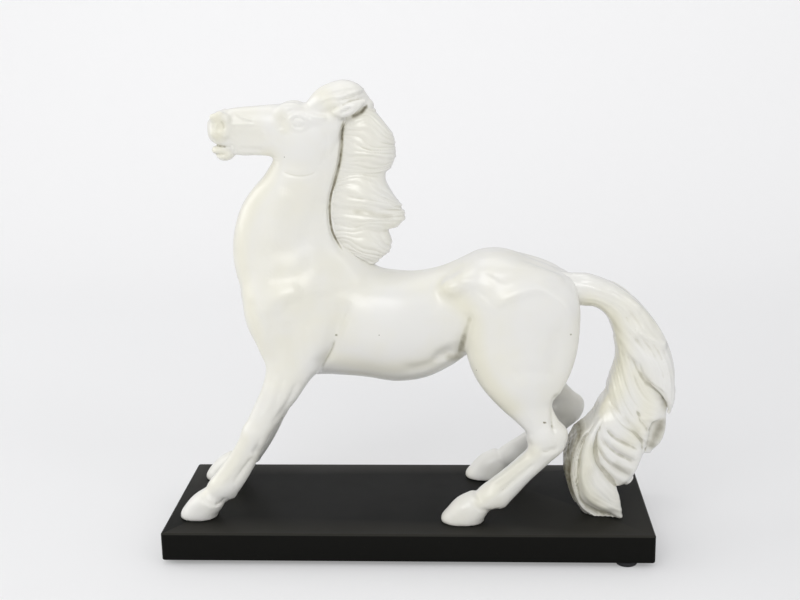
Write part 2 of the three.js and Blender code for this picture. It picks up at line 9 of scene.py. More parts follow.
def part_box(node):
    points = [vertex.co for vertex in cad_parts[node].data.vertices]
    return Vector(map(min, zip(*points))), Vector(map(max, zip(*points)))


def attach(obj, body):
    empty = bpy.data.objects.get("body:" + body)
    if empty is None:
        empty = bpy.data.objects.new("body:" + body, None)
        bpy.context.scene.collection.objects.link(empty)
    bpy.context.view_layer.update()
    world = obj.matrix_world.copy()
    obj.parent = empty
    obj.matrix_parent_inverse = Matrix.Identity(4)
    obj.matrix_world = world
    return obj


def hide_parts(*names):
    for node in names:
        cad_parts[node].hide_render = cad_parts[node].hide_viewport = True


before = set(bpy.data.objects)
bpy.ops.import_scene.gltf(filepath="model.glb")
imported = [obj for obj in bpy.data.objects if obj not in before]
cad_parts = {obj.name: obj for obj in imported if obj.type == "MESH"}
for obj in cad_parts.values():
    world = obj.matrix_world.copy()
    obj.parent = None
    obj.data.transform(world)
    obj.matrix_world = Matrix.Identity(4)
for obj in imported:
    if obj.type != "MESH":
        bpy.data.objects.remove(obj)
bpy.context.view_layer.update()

# The tabletop studio
# A pale paper sweep under soft daylight from the upper left, as for a catalogue picture. The camera stands
# a metre in front of the plinth and looks down a little on its upper face.
MM = 0.001
board_low, board_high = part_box("plinth")
board_top_centre = Vector(((board_low.x + board_high.x) / 2, (board_low.y + board_high.y) / 2, board_high.z))


def place(x, y, z):
    """A point in the frame, from millimetres measured from the centre of the plinth's upper face."""
    return board_top_centre + Vector((x, y, z)) * MM


CAMERA_PLACE = (52.04, -1002.55, 431.55)
CAMERA_YAW, CAMERA_PITCH, CAMERA_ROLL = 3.27058, 14.29383, -1.08741
LENS_LENGTH = 56.25
SENSOR_WIDTH = 36

camera = bpy.data.objects.new("camera", bpy.data.cameras.new("camera"))
camera.data.lens = LENS_LENGTH
camera.data.sensor_width = SENSOR_WIDTH
camera.data.dof.use_dof = False
yaw, pitch, roll = (math.radians(angle) for angle in (CAMERA_YAW, CAMERA_PITCH, CAMERA_ROLL))
forward = Vector((-math.sin(yaw) * math.cos(pitch), math.cos(yaw) * math.cos(pitch), -math.sin(pitch)))
level = Vector((math.cos(yaw), math.sin(yaw), 0))
upward = level.cross(forward)
rightward = level * math.cos(roll) + upward * math.sin(roll)
upward = upward * math.cos(roll) - level * math.sin(roll)
turn = Matrix((rightward, upward, -forward)).transposed().to_4x4()
camera.matrix_world = Matrix.Translation(place(*CAMERA_PLACE)) @ turn
bpy.context.scene.collection.objects.link(camera)
bpy.context.scene.camera = camera
bpy.context.scene.view_settings.view_transform = "Standard"


def linear(hex_colour):
    """An sRGB hex colour as linear red, green, blue and alpha."""
    parts = [int(hex_colour[i:i + 2], 16) / 255 for i in (1, 3, 5)]
    return [c / 12.92 if c <= 0.04045 else ((c + 0.055) / 1.055) ** 2.4 for c in parts] + [1.0]


def add_node(tree, kind, settings=None, links=None):
    """Adds a shader node with its settings, by property or socket, and its linked inputs."""
    node = tree.nodes.new(kind)
    for name, value in (settings or {}).items():
        if isinstance(name, str) and hasattr(node, name):
            setattr(node, name, value)
        else:
            node.inputs[name].default_value = value
    for name, source in (links or {}).items():
        tree.links.new(source, node.inputs[name])
    return node


def new_material(name):
    """An empty node material, its tree and the place on the object, from which its patterns are drawn."""
    material = bpy.data.materials.new(name)
    material.use_nodes = True
    tree = material.node_tree
    tree.nodes.clear()
    return material, tree, add_node(tree, "ShaderNodeTexCoord").outputs["Object"]


def noise(tree, spot, size, detail, roughness=0.5):
    """A cloudy pattern with a grain of a size in millimetres."""
    settings = {"Scale": 1 / (size * MM), "Detail": detail, "Roughness": roughness}
    return add_node(tree, "ShaderNodeTexNoise", settings, {"Vector": spot}).outputs["Fac"]


def remap(tree, value, low, high, to_low=0.0, to_high=1.0):
    """A value moved from one range to another and held at its ends."""
    settings = {"From Min": low, "From Max": high, "To Min": to_low, "To Max": to_high}
    return add_node(tree, "ShaderNodeMapRange", settings, {"Value": value}).outputs["Result"]


def reckon(tree, operation, first, second):
    """A sum on two values, of which the second may be a constant."""
    if isinstance(second, float):
        return add_node(tree, "ShaderNodeMath", {"operation": operation, 1: second}, {0: first}).outputs[0]
    return add_node(tree, "ShaderNodeMath", {"operation": operation}, {0: first, 1: second}).outputs[0]


def mixed(tree, share, *colours):
    """Two colours mixed by a share, each a hex colour or the output of a node."""
    settings, links = {"data_type": "RGBA"}, {0: share}
    for socket, colour in zip((6, 7), colours):
        if isinstance(colour, str):
            settings[socket] = linear(colour)
        else:
            links[socket] = colour
    return add_node(tree, "ShaderNodeMix", settings, links).outputs[2]


def bumped(tree, height, strength, distance, over=None):
    """The normal that a pattern raised by a distance in millimetres gives, over an earlier one."""
    links = {"Height": height, "Normal": over} if over else {"Height": height}
    settings = {"Strength": strength, "Distance": distance * MM}
    return add_node(tree, "ShaderNodeBump", settings, links).outputs["Normal"]


def cover(tree, shader):
    """Makes a shader the surface of its material."""
    add_node(tree, "ShaderNodeOutputMaterial", {}, {"Surface": shader.outputs[0]})


def mesh_object(name, points, quads, triangles=()):
    """A smooth-shaded object from points in metres, four-sided faces and three-sided faces."""
    mesh = bpy.data.meshes.new(name)
    quads = np.asarray(quads, np.int32).reshape(-1, 4)
    triangles = np.asarray(triangles, np.int32).reshape(-1, 3)
    corners = np.concatenate([quads.ravel(), triangles.ravel()])
    starts = np.concatenate([np.arange(len(quads)) * 4, len(quads) * 4 + np.arange(len(triangles)) * 3])
    mesh.vertices.add(len(points))
    mesh.vertices.foreach_set("co", np.asarray(points, np.float32).ravel())
    mesh.loops.add(len(corners))
    mesh.loops.foreach_set("vertex_index", corners)
    mesh.polygons.add(len(starts))
    mesh.polygons.foreach_set("loop_start", starts.astype(np.int32))
    mesh.update(calc_edges=True)
    mesh.shade_smooth()
    piece = bpy.data.objects.new(name, mesh)
    bpy.context.scene.collection.objects.link(piece)
    return piece


PAPER = "#ECECED"
PAPER_GRAIN = 2.5
PAPER_GLOW = 0.29
GLOW_START, GLOW_END = 200, 1500
GLOW_NEAR, GLOW_FAR = 1.0, 1.58
SWEEP_HALF_WIDTH = 3000
SWEEP_FRONT = -1700
SWEEP_BACK = 1500
SWEEP_RADIUS = 700
SWEEP_TOP = 2600
ground = -(board_high.z / MM)

# Matt paper: it takes the soft shadow and shows the lens a little glow of its own, stronger towards the back
paper, tree, spot = new_material("matt_paper_sweep")
# The grain, too fine to show here, is drawn coarser: the sheet's own coordinates stretch it over the sweep
fibre = noise(tree, spot.node.outputs["Generated"], PAPER_GRAIN, 2.0)
matt = add_node(tree, "ShaderNodeBsdfDiffuse", {"Color": linear(PAPER)},
                {"Normal": bumped(tree, fibre, 0.05, 0.1)})
rays = add_node(tree, "ShaderNodeLightPath")
glow_share = reckon(tree, "MULTIPLY", rays.outputs["Is Camera Ray"], PAPER_GLOW)
where = add_node(tree, "ShaderNodeNewGeometry")
parts = add_node(tree, "ShaderNodeSeparateXYZ", {}, {0: where.outputs["Position"]})
brighter = remap(tree, parts.outputs["Y"], GLOW_START * MM, GLOW_END * MM, GLOW_NEAR, GLOW_FAR)
glow = add_node(tree, "ShaderNodeEmission", {"Color": linear("#FFFFFF")}, {"Strength": brighter})
sheet = add_node(tree, "ShaderNodeMixShader", {}, {0: glow_share, 1: matt.outputs[0], 2: glow.outputs[0]})
cover(tree, sheet)

bend = np.radians(np.linspace(0, 90, 16))
bend_y = SWEEP_BACK - SWEEP_RADIUS + SWEEP_RADIUS * np.sin(bend)
bend_z = ground + SWEEP_RADIUS * (1 - np.cos(bend))
profile = [(SWEEP_FRONT, ground)] + list(zip(bend_y, bend_z)) + [(SWEEP_BACK, SWEEP_TOP)]
sweep_points = [place(x, y, z) for y, z in profile for x in (-SWEEP_HALF_WIDTH, SWEEP_HALF_WIDTH)]
sweep_quads = [(2 * i, 2 * i + 1, 2 * i + 3, 2 * i + 2) for i in range(len(profile) - 1)]
backdrop = mesh_object("paper_sweep", sweep_points, sweep_quads)
backdrop.data.materials.append(paper)


def soft_box(name, at, target, size, watts, tint="#FFFFFF"):
    """A square or oblong lamp with a diffuser, facing its target."""
    lamp = bpy.data.lights.new(name, "AREA")
    lamp.shape = "RECTANGLE"
    lamp.size, lamp.size_y = size[0] * MM, size[1] * MM
    lamp.energy = watts
    lamp.color = linear(tint)[:3]
    holder = bpy.data.objects.new(name, lamp)
    holder.location = place(*at)
    holder.rotation_euler = (place(*target) - place(*at)).to_track_quat("-Z", "Y").to_euler()
    bpy.context.scene.collection.objects.link(holder)


ROOM_WHITE = "#F7F7F8"
ROOM_LIGHT = 0.62
soft_box("window_light", (-300, -1200, 1150), (-20, 0, 150), (1000, 600), 6.15)
soft_box("left_light", (-1350, 100, 750), (-20, 0, 120), (900, 900), 4.6)
soft_box("overhead_light", (-100, 250, 1500), (0, 0, 100), (1000, 700), 2.4)
soft_box("right_fill", (1200, -900, 500), (60, 0, 150), (900, 900), 1.1, "#EEF3FF")
soft_box("right_strip", (750, -700, 950), (100, 0, 130), (140, 420), 0.6)

room = bpy.data.worlds.new("pale_room")
room.use_nodes = True
bpy.context.scene.world = room
background = room.node_tree.nodes["Background"]
background.inputs["Color"].default_value = linear(ROOM_WHITE)
background.inputs["Strength"].default_value = ROOM_LIGHT

# Rubber feet
# Four stick-on bumpers moulded in black rubber. Their wide side is glued under the plinth, and the lower rim
# is rounded where it meets the table.
FOOT_SIDES = 56
RUBBER_BLACK = "#212124"
RUBBER_GRAIN = 0.6
# Each ring as shares of the radius and of the height, from the worn middle of the sole up to the glued face
foot_profile = [(0.0, 0.02), (0.62, 0.0), (0.74, 0.01), (0.84, 0.05), (0.91, 0.13), (0.955, 0.26),
                (0.98, 0.45), (0.992, 0.7), (1.0, 0.74), (1.0, 0.97), (0.985, 1.0), (0.0, 1.0)]

# Moulded rubber: a dull black, with a faint grain that breaks up the sheen
rubber, tree, spot = new_material("moulded_black_rubber")
grain = noise(tree, spot, RUBBER_GRAIN, 3.0)
skin = add_node(tree, "ShaderNodeBsdfPrincipled", {"Base Color": linear(RUBBER_BLACK), "IOR": 1.52},
                {"Roughness": remap(tree, grain, 0.0, 1.0, 0.62, 0.82),
                 "Normal": bumped(tree, grain, 0.35, 0.05)})
cover(tree, skin)


def ring_faces(rings, count):
    """The faces between loops of as many points each, laid one above the other."""
    return [(low + s, low + (s + 1) % count, low + count + (s + 1) % count, low + count + s)
            for low in range(0, (rings - 1) * count, count) for s in range(count)]


for corner in ("front_left", "front_right", "rear_left", "rear_right"):
    low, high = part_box(f"rubber_foot_{corner}")
    hub = (low + high) / 2
    radius = (high.x - low.x) / 2
    rise = high.z - low.z
    turns = np.linspace(0, 2 * np.pi, FOOT_SIDES, endpoint=False)
    points = [(hub.x + radius * r * math.cos(a), hub.y + radius * r * math.sin(a), low.z + rise * h)
              for r, h in foot_profile[1:-1] for a in turns]
    rings = len(foot_profile) - 2
    points += [(hub.x, hub.y, low.z + rise * foot_profile[0][1]), (hub.x, hub.y, high.z)]
    last = (rings - 1) * FOOT_SIDES
    caps = [(rings * FOOT_SIDES, (s + 1) % FOOT_SIDES, s) for s in range(FOOT_SIDES)]
    caps += [(rings * FOOT_SIDES + 1, last + s, last + (s + 1) % FOOT_SIDES) for s in range(FOOT_SIDES)]
    foot = mesh_object(f"bumper_{corner}", points, ring_faces(rings, FOOT_SIDES), caps)
    foot.data.materials.append(rubber)
    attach(foot, "root")
    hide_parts(f"rubber_foot_{corner}")

# Plinth
# A board of fibreboard with eased edges, sprayed with satin black lacquer. It is bored from beneath for the
# studs that hold the hooves and the tail, each hole opened out for its washer and nut.
LACQUER_BLACK = "#161614"
LACQUER_DUST_AND_HIGHLIGHT = "#34332F"
BOARD_CORNER = 2.5
BOARD_EDGE = 1.6
EDGE_STEPS = 6
PEEL_SIZE = 3.2
HAZE_SIZE = 85
DUST_SPACING = 9
RIM_HIGHLIGHT_SHARE = 0.9
STUD_HOLE = 5.6
COUNTERBORE_WIDTH, COUNTERBORE_DEPTH = 20, 13

# Sprayed satin lacquer: nearly black, with faint orange peel and dust specks, and a painted highlight that
# makes the upper rim a little paler
lacquer, tree, spot = new_material("sprayed_satin_black_lacquer")
peel = noise(tree, spot, PEEL_SIZE, 1.0)
haze = noise(tree, spot, HAZE_SIZE, 3.0, 0.6)
dust = add_node(tree, "ShaderNodeTexVoronoi", {"Scale": 1 / (DUST_SPACING * MM)}, {"Vector": spot})
speck = remap(tree, dust.outputs["Distance"], 0.02, 0.035, 1.0, 0.0)
# Paler lacquer colour goes to two places: real dust specks, and a painted highlight along the upper rim
edge = add_node(tree, "ShaderNodeAttribute", {"attribute_name": "edge"})
dust_and_rim_highlight = reckon(tree, "MAXIMUM", reckon(tree, "MULTIPLY", edge.outputs["Fac"], RIM_HIGHLIGHT_SHARE), speck)
skin = add_node(tree, "ShaderNodeBsdfPrincipled", {"IOR": 1.5, "Specular IOR Level": 0.05},
                {"Base Color": mixed(tree, dust_and_rim_highlight, LACQUER_BLACK, LACQUER_DUST_AND_HIGHLIGHT),
                 "Roughness": remap(tree, haze, 0.3, 0.7, 0.36, 0.46),
                 "Normal": bumped(tree, peel, 0.25, 0.06)})
cover(tree, skin)


def board_ring(inset, height):
    """A loop round the board at a height, moved in from its sides by an inset, with round corners."""
    half = [(board_high[axis] - board_low[axis]) / 2 / MM - BOARD_CORNER for axis in (0, 1)]
    radius = BOARD_CORNER - inset
    loop = []
    for quarter, (sx, sy) in enumerate(((1, 1), (-1, 1), (-1, -1), (1, -1))):
        for step in range(EDGE_STEPS + 1):
            angle = math.radians(90 * (quarter + step / EDGE_STEPS))
            out_x, out_y = radius * math.cos(angle), radius * math.sin(angle)
            loop.append(place(sx * half[0] + out_x, sy * half[1] + out_y, height))
    return loop


board_depth = (board_high.z - board_low.z) / MM
ease = [math.radians(90 * step / EDGE_STEPS) for step in range(EDGE_STEPS + 1)]
lower_edge = [(BOARD_EDGE * (1 - math.sin(a)), -board_depth + BOARD_EDGE * (1 - math.cos(a))) for a in ease]
upper_edge = [(inset, -board_depth - height) for inset, height in reversed(lower_edge)]
ring_places = lower_edge + upper_edge
board_points = [point for inset, height in ring_places for point in board_ring(inset, height)]
loop_size = 4 * (EDGE_STEPS + 1)
board = mesh_object("lacquered_board", board_points, ring_faces(len(ring_places), loop_size))


def close_with_face(piece, corners):
    """Adds one flat face through the corners of an open end."""
    shell = bmesh.new()
    shell.from_mesh(piece.data)
    shell.verts.ensure_lookup_table()
    shell.faces.new([shell.verts[i] for i in corners])
    shell.to_mesh(piece.data)
    shell.free()


top_start = (len(ring_places) - 1) * loop_size
close_with_face(board, list(range(loop_size))[::-1])
close_with_face(board, list(range(top_start, top_start + loop_size)))


def drill(name, at, diameter, low, high, sides=48):
    """A round cutter standing upright from one height to another."""
    around = np.linspace(0, 2 * np.pi, sides, endpoint=False)
    rim = [place(at[0] + diameter / 2 * math.cos(a), at[1] + diameter / 2 * math.sin(a), z)
           for z in (low, high) for a in around]
    cutter = mesh_object(name, rim, ring_faces(2, sides))
    close_with_face(cutter, list(range(sides))[::-1])
    close_with_face(cutter, list(range(sides, 2 * sides)))
    return cutter


for name in ("near_foreleg", "far_foreleg", "near_hindleg", "far_hindleg", "tail"):
    low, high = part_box(f"stud_{name}")
    at = ((low + high) / 2 - board_top_centre) / MM
    bores = [drill("bore", at, STUD_HOLE, -2 * board_depth, board_depth),
             drill("counterbore", at, COUNTERBORE_WIDTH, -board_depth - 5, -board_depth + COUNTERBORE_DEPTH)]
    for cutter in bores:
        cut = board.modifiers.new("bore", "BOOLEAN")
        cut.operation = "DIFFERENCE"
        cut.solver = "EXACT"
        cut.object = cutter
        with bpy.context.temp_override(object=board, active_object=board):
            bpy.ops.object.modifier_apply(modifier="bore")
        bpy.data.objects.remove(cutter)

heights = np.array([v.co.z for v in board.data.vertices])
sides = np.array([max(abs(v.co.x - board_top_centre.x) - (board_high.x - board_low.x) / 2,
                      abs(v.co.y - board_top_centre.y) - (board_high.y - board_low.y) / 2)
                  for v in board.data.vertices]) / MM
drop = (board_high.z - heights) / MM
# The rounded upper rim, where the eased edge catches the light, is marked for the painted highlight
on_edge = (np.abs(drop - 0.3 * BOARD_EDGE) < 0.45 * BOARD_EDGE) & (sides > -BOARD_EDGE) & (drop < BOARD_EDGE)
painted_rim_highlight = board.data.attributes.new("edge", "FLOAT", "POINT")
painted_rim_highlight.data.foreach_set("value", on_edge.astype(np.float32))
board.data.materials.append(lacquer)
flat_angle = math.radians(35)
board.data.set_sharp_from_angle(angle=flat_angle)
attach(board, "root")
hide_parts("plinth")

# Fixings
# Zinc-plated steel: studs set in the hooves and the tail with a washer and a nut under the board, and plain
# pins across the glued seams. They keep the shapes of the construction.
ZINC = "#B9BCC0"
ZINC_DULL = "#8E9299"
SPANGLE = 1.4
FIXING_NAMES = ("stud_", "washer_", "nut_", "pin_")

# Zinc plate: a grey metal with cloudy spangle and a scatter of duller patches
zinc, tree, spot = new_material("zinc_plated_steel")
cloud = noise(tree, spot, SPANGLE, 3.0)
skin = add_node(tree, "ShaderNodeBsdfPrincipled", {"Metallic": 1.0},
                {"Base Color": mixed(tree, cloud, ZINC, ZINC_DULL),
                 "Roughness": remap(tree, cloud, 0.0, 1.0, 0.24, 0.5)})
cover(tree, skin)

for name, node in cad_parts.items():
    if name.startswith(FIXING_NAMES):
        node.data.materials.clear()
        node.data.materials.append(zinc)

# Body casting
# The trunk and neck are one resin casting, modelled in clay, cast and sanded. The forms are laid up as a
# sculptor would: each is a lofted mass or a pad of clay worked into its neighbours.
COARSE = 1.0
LOFT_STEPS = 160
EMPTY = 40


def cubics(rows, tangents, travel, at):
    """The smooth curve through rows with given tangents, read at places along its travel."""
    span = np.clip(np.searchsorted(travel, at, side="right") - 1, 0, len(rows) - 2)
    long = np.diff(travel)[span][:, None]
    t = (at - travel[span])[:, None] / long
    return ((2 * t**3 - 3 * t**2 + 1) * rows[span] + (t**3 - 2 * t**2 + t) * long * tangents[span]
            + (3 * t**2 - 2 * t**3) * rows[span + 1] + (t**3 - t**2) * long * tangents[span + 1])


def smooth_rows(stations, count):
    """Stations joined by smooth curves, each column on a cubic through its own values."""
    rows = np.array(stations, float)
    hops = 0.5 * (np.hypot(*np.diff(rows[:, 0:2], axis=0).T) + np.hypot(*np.diff(rows[:, 2:4], axis=0).T))
    travel = np.concatenate([[0], np.cumsum(hops + 0.3 * np.abs(np.diff(rows[:, 4])))])
    steps = np.diff(travel)[:, None]
    slopes = np.diff(rows, axis=0) / steps
    between = (slopes[:-1] * steps[1:] + slopes[1:] * steps[:-1]) / (steps[1:] + steps[:-1])
    tangents = np.vstack([slopes[:1], between, slopes[-1:]])
    at = np.linspace(0, travel[-1], count)
    return cubics(rows, tangents, travel, at), at


class Clay:
    """A block of modelling clay on a grid of millimetres: forms are worked in, and its skin is drawn off."""

    def __init__(self, *axes):
        self.axes = [np.asarray(axis, np.float32) for axis in axes]
        self.depth = np.full([len(axis) for axis in self.axes], EMPTY, np.float32)

    def near(self, low, high, margin):
        """The stretch of each axis that a form can reach."""
        spans = []
        for axis, lowest, highest in zip(self.axes, low, high):
            first = max(0, np.searchsorted(axis, lowest - margin) - 1)
            spans.append(slice(first, np.searchsorted(axis, highest + margin) + 1))
        return tuple(spans)

    def work(self, form, blend, cut=False):
        """Blends a form into the clay, or cuts it out."""
        low, high, distance = form
        spans = self.near(low, high, blend + 3)
        x, y, z = (axis[span] for axis, span in zip(self.axes, spans))
        if not (len(x) and len(y) and len(z)):
            return
        sign = -1 if cut else 1
        old = self.depth[spans] * sign
        new = distance(x, y, z).astype(np.float32)
        ease = np.clip(1 - np.abs(old - new) / blend, 0, 1)
        self.depth[spans] = sign * (np.minimum(old, new) - ease**2 * blend / 4)


def axis_lines(start, *stretches):
    """Grid lines from a start, each stretch given by its end and the step along it."""
    lines = [start]
    for end, step in stretches:
        count = max(1, round((end - lines[-1]) / (step * COARSE)))
        lines += list(np.linspace(lines[-1], end, count + 1)[1:])
    return lines


def loft(stations, taper=0.0, power=2.0, dome=8.0, relief=None):
    """A form through stations, each a top and a low point in the side view, the middle across and half width.
    The taper widens its upper side, the power squares its section, and its ends stand out by the dome."""
    rows, travel = smooth_rows(stations, LOFT_STEPS)
    rows = rows.astype(np.float32)
    middle = (rows[:, 0:2] + rows[:, 2:4]) / 2
    arm = (rows[:, 0:2] - rows[:, 2:4]) / 2
    half = np.maximum(np.hypot(*arm.T), 0.3)
    arm = arm / half[:, None]
    way = np.stack([arm[:, 1], -arm[:, 0]], 1)
    way = way * np.sign(np.sum(np.diff(middle, axis=0) * way[1:]))
    wide = np.maximum(rows[:, 5], 0.3)
    reach = dome + 1
    low = (min(rows[:, 0].min(), rows[:, 2].min()) - reach, (rows[:, 4] - wide).min(),
           min(rows[:, 1].min(), rows[:, 3].min()) - reach)
    high = (max(rows[:, 0].max(), rows[:, 2].max()) + reach, (rows[:, 4] + wide).max(),
            max(rows[:, 1].max(), rows[:, 3].max()) + reach)

    def distance(x, y, z):
        dx = x[:, None, None] - middle[:, 0]
        dz = z[None, :, None] - middle[:, 1]
        across = dx * arm[:, 0] + dz * arm[:, 1]
        ahead = dx * way[:, 0] + dz * way[:, 1]
        beside = np.maximum(np.abs(across) - 1.3 * half, 0)
        nearest = np.argmin(ahead**2 + beside**2, axis=2)
        here = np.take_along_axis(ahead, nearest[..., None], 2)[..., 0]
        other = np.clip(nearest + np.sign(here).astype(int), 0, LOFT_STEPS - 1)
        there = np.take_along_axis(ahead, other[..., None], 2)[..., 0]
        past_end = other == nearest
        share = np.clip(here / np.where(past_end | (here == there), 1, here - there), 0, 1)
        at = nearest + np.where(past_end, 0, share) * (other - nearest)
        numbers = np.arange(LOFT_STEPS)

        def along(values):
            return np.interp(at.ravel(), numbers, values).reshape(at.shape).astype(np.float32)

        size, width = along(half), along(wide)
        u = ((x[:, None] - along(middle[:, 0])) * along(arm[:, 0])
             + (z[None, :] - along(middle[:, 1])) * along(arm[:, 1])) / size
        over = np.where(past_end, np.abs(here), 0) / np.minimum(dome, np.minimum(size, width))
        breadth = width * (1 + taper * np.clip(u, -1, 1))
        u, over, size, breadth = (value[:, None, :] for value in (u, over, size, breadth))
        v = (y[None, :, None] - along(rows[:, 4])[:, None, :]) / breadth
        span = np.sqrt(u**2 + v**2 + over**2)
        slope = np.sqrt((u / size)**2 + (v / breadth)**2 + (over / np.minimum(size, breadth))**2)
        if power == 2.0:
            edge = span
        else:
            edge = (np.abs(u)**power + np.abs(v)**power + np.abs(over)**power)**(1 / power)
        found = (edge - 1) * span / np.maximum(slope, 1e-5)
        if relief:
            found = found - relief(x[:, None, None], z[None, None, :], u, v, along(travel)[:, None, :])
        return found

    return low, high, distance


def pad(x, y, z, radii, tilt=0.0, spin=0.0):
    """A pad of clay: radii along, up and across, tilted in the side view and spun from above."""
    reach = max(radii)
    tip, swing = math.radians(tilt), math.radians(spin)

    def distance(xs, ys, zs):
        dx, dy, dz = xs[:, None, None] - x, ys[None, :, None] - y, zs[None, None, :] - z
        ahead = dx * math.cos(swing) + dy * math.sin(swing)
        across = dy * math.cos(swing) - dx * math.sin(swing)
        along = ahead * math.cos(tip) + dz * math.sin(tip)
        up = dz * math.cos(tip) - ahead * math.sin(tip)
        size = np.sqrt((along / radii[0])**2 + (up / radii[1])**2 + (across / radii[2])**2)
        slope = np.sqrt((along / radii[0]**2)**2 + (up / radii[1]**2)**2 + (across / radii[2]**2)**2)
        return size * (size - 1) / np.maximum(slope, 1e-5)

    return (x - reach, y - reach, z - reach), (x + reach, y + reach, z + reach), distance


figure = Clay(axis_lines(-196, (-25, 0.8), (158, 1.42)), axis_lines(-66, (66, 1.2)),
              axis_lines(-2, (268, 1.4), (362, 0.8)))

TRUNK = [
    [-136, 184, -134, 168, 0, 10],
    [-131, 196, -129, 152, 0, 25],
    [-117, 205, -120, 136, 0, 33],
    [-98, 211, -105, 124, 0, 36],
    [-76, 215, -86, 114, 0, 37],
    [-50, 217, -64, 113, 0, 36.5],
    [-24, 204, -36, 111, 0, 36.5],
    [4, 200, -7, 107, 0, 36],
    [28, 204, 18, 111, 0, 34],
    [46, 211, 38, 121, 0, 31.5],
    [62, 217, 56, 133, 0, 33],
    [80, 217, 77, 134, 0, 36],
    [102, 210, 99, 130, 0, 37],
    [122, 202, 119, 126, 0, 33],
    [135, 193, 133, 132, 0, 25],
    [141, 178, 139, 150, 0, 11],
]
NECK = [
    [-134, 186, -44, 198, 0, 30],
    [-141, 206, -44, 216, 0, 31],
    [-142, 222, -50, 232, 0, 28],
    [-139, 241, -53, 250, 0, 25],
    [-133, 257, -51, 266, 0, 22.5],
    [-124, 270, -48, 282, 0, 20.5],
    [-114, 281, -45, 297, 0, 18.5],
    [-106, 293, -43, 313, 0, 15.5],
    [-96, 310, -44, 327, 0, 12],
]
WITHERS = (-58, 0, 206, (26, 13, 16), -12, 14)
MUSCLES = [
    (-94, 19, 176, (33, 38, 20), -22, 14),
    (-74, 24, 150, (19, 31, 16.5), -24, 7),
    (-106, 23, 158, (11, 26, 14), -14, 7),
    (-101, 19, 186, (16, 9, 15), 40, 11),
    (-12, 13, 160, (46, 34, 25.5), 0, 10),
    (97, 22, 162, (39, 45, 19), 10, 9),
    (72, 15, 190, (30, 24, 19), 0, 12),
    (38, 23.5, 192, (8, 7, 8.5), 0, 7),
    (51, 24, 197, (9, 7, 8.5), 0, 7),
    (124, 12, 172, (16, 26, 15), -12, 8),
]
FLANK_HOLLOW = (36, 36, 137, (13, 7.5, 10), 22, 6)


def work_pads(pads, side, cut=False):
    """Works pads into one side of the figure, or out of it: x, distance across, z, radii, tilt and blend."""
    for x, across, z, radii, tilt, blend in pads:
        figure.work(pad(x, side * across, z, radii, tilt), blend, cut)


figure.work(loft(TRUNK, taper=-0.08, dome=1), 1)
figure.work(loft(NECK, taper=0.06, power=2.3), 16)
work_pads([WITHERS], 1)
for side in (-1, 1):
    work_pads(MUSCLES, side)
    work_pads([FLANK_HOLLOW], side, cut=True)

# Head casting
# The head is cast apart with its forelock and ears and set on the neck under the jaw. Cheeks, brows, nostrils
# and lips are pads of clay over the skull, and the mouth is slightly open.
HEAD = [
    [-38, 338, -46, 322, 0, 9],
    [-49, 343, -54, 304, 0, 15],
    [-64, 341, -66, 288, 0, 17.5],
    [-81, 339, -82, 283.5, 0, 18],
    [-95, 338.5, -96, 288, 0, 16.5],
    [-107, 338, -108, 297, 0, 14.5],
    [-120, 337, -120, 300, 0, 12.2],
    [-134, 336, -132, 299.5, 0, 11],
    [-145, 334, -142, 302, 0, 11],
    [-153, 331, -150, 306, 0, 10],
    [-157, 326, -155, 311, 0, 6],
]
EAR = [
    [-54, 334, -52, 329.5, -14.5, 3],
    [-49, 337.5, -46.5, 328.5, -16.8, 3.9],
    [-42.5, 340.5, -40, 330.2, -17.6, 4.1],
    [-35.5, 342, -34, 334.3, -17.2, 3.3],
    [-30, 342.8, -29.6, 339, -15.5, 2],
]
FORELOCK = [
    [-78, 337, -76, 331, 0, 6],
    [-74.5, 343.5, -71, 328, 0, 10.5],
    [-68, 350, -65, 327, 0, 14.5],
    [-58, 355, -57, 327, 0, 16.5],
    [-45, 357, -46, 328, 0, 17],
    [-34, 352.5, -38, 329, 0, 15],
    [-26, 341.5, -32.5, 330.5, 0, 9.5],
]
MUZZLE = [
    (-149.5, 0, 316, (8, 8, 11.5), 0, 5),
    (-148, 0, 302, (7.6, 4.6, 8.8), -4, 1.6),
    (-145, 0, 297.6, (6.8, 4.4, 8), 0, 2.5),
    (-122, 0, 303, (22, 5, 8), 0, 6),
]
FACE = [
    (-90, 10, 334, (9, 6, 4.4), 6, 7),
    (-145, 7.5, 322.5, (9, 10, 5.8), 8, 4),
    (-70, 13.6, 326.5, (7, 2, 2.6), 6, 5),
    (-82, 13.6, 325.8, (8.4, 5.8, 4.4), 0, 5),
    (-81.8, 15.4, 325.4, (3.7, 3.1, 3.0), 0, 0.6),
]
CHEEK_X, CHEEK_ACROSS, CHEEK_Z = -78, 8, 304.5
CHEEK_RADII = (20.5, 20, 11)
CHEEK_SPIN = 4
NOSTRIL_ACROSS, NOSTRIL_RIM_WIDTH = 11, 2.4
NOSTRIL_RIM = [(-151, 329.5, 3), (-145.5, 331, 3.2), (-140.5, 328, 3), (-150.5, 316.5, 3), (-141.5, 316, 2.8)]
NOSTRIL_HOLLOW = (-145.4, 14.4, 322.4, (2.6, 4.4, 2.6), -24, 2.5)
EAR_HOLLOW = (-44.5, 21.6, 333.8, (6, 1.4, 2.4), 26, 1.4)
STRAND_SPACING = 3.6


def rounded(phase, softness=0.05):
    """Rounded ridges, one for each half turn of the phase, from -1 in the valley to 0. The softer, the wider
    the valleys."""
    return np.sqrt(np.cos(phase)**2 + softness) - math.sqrt(1 + softness)


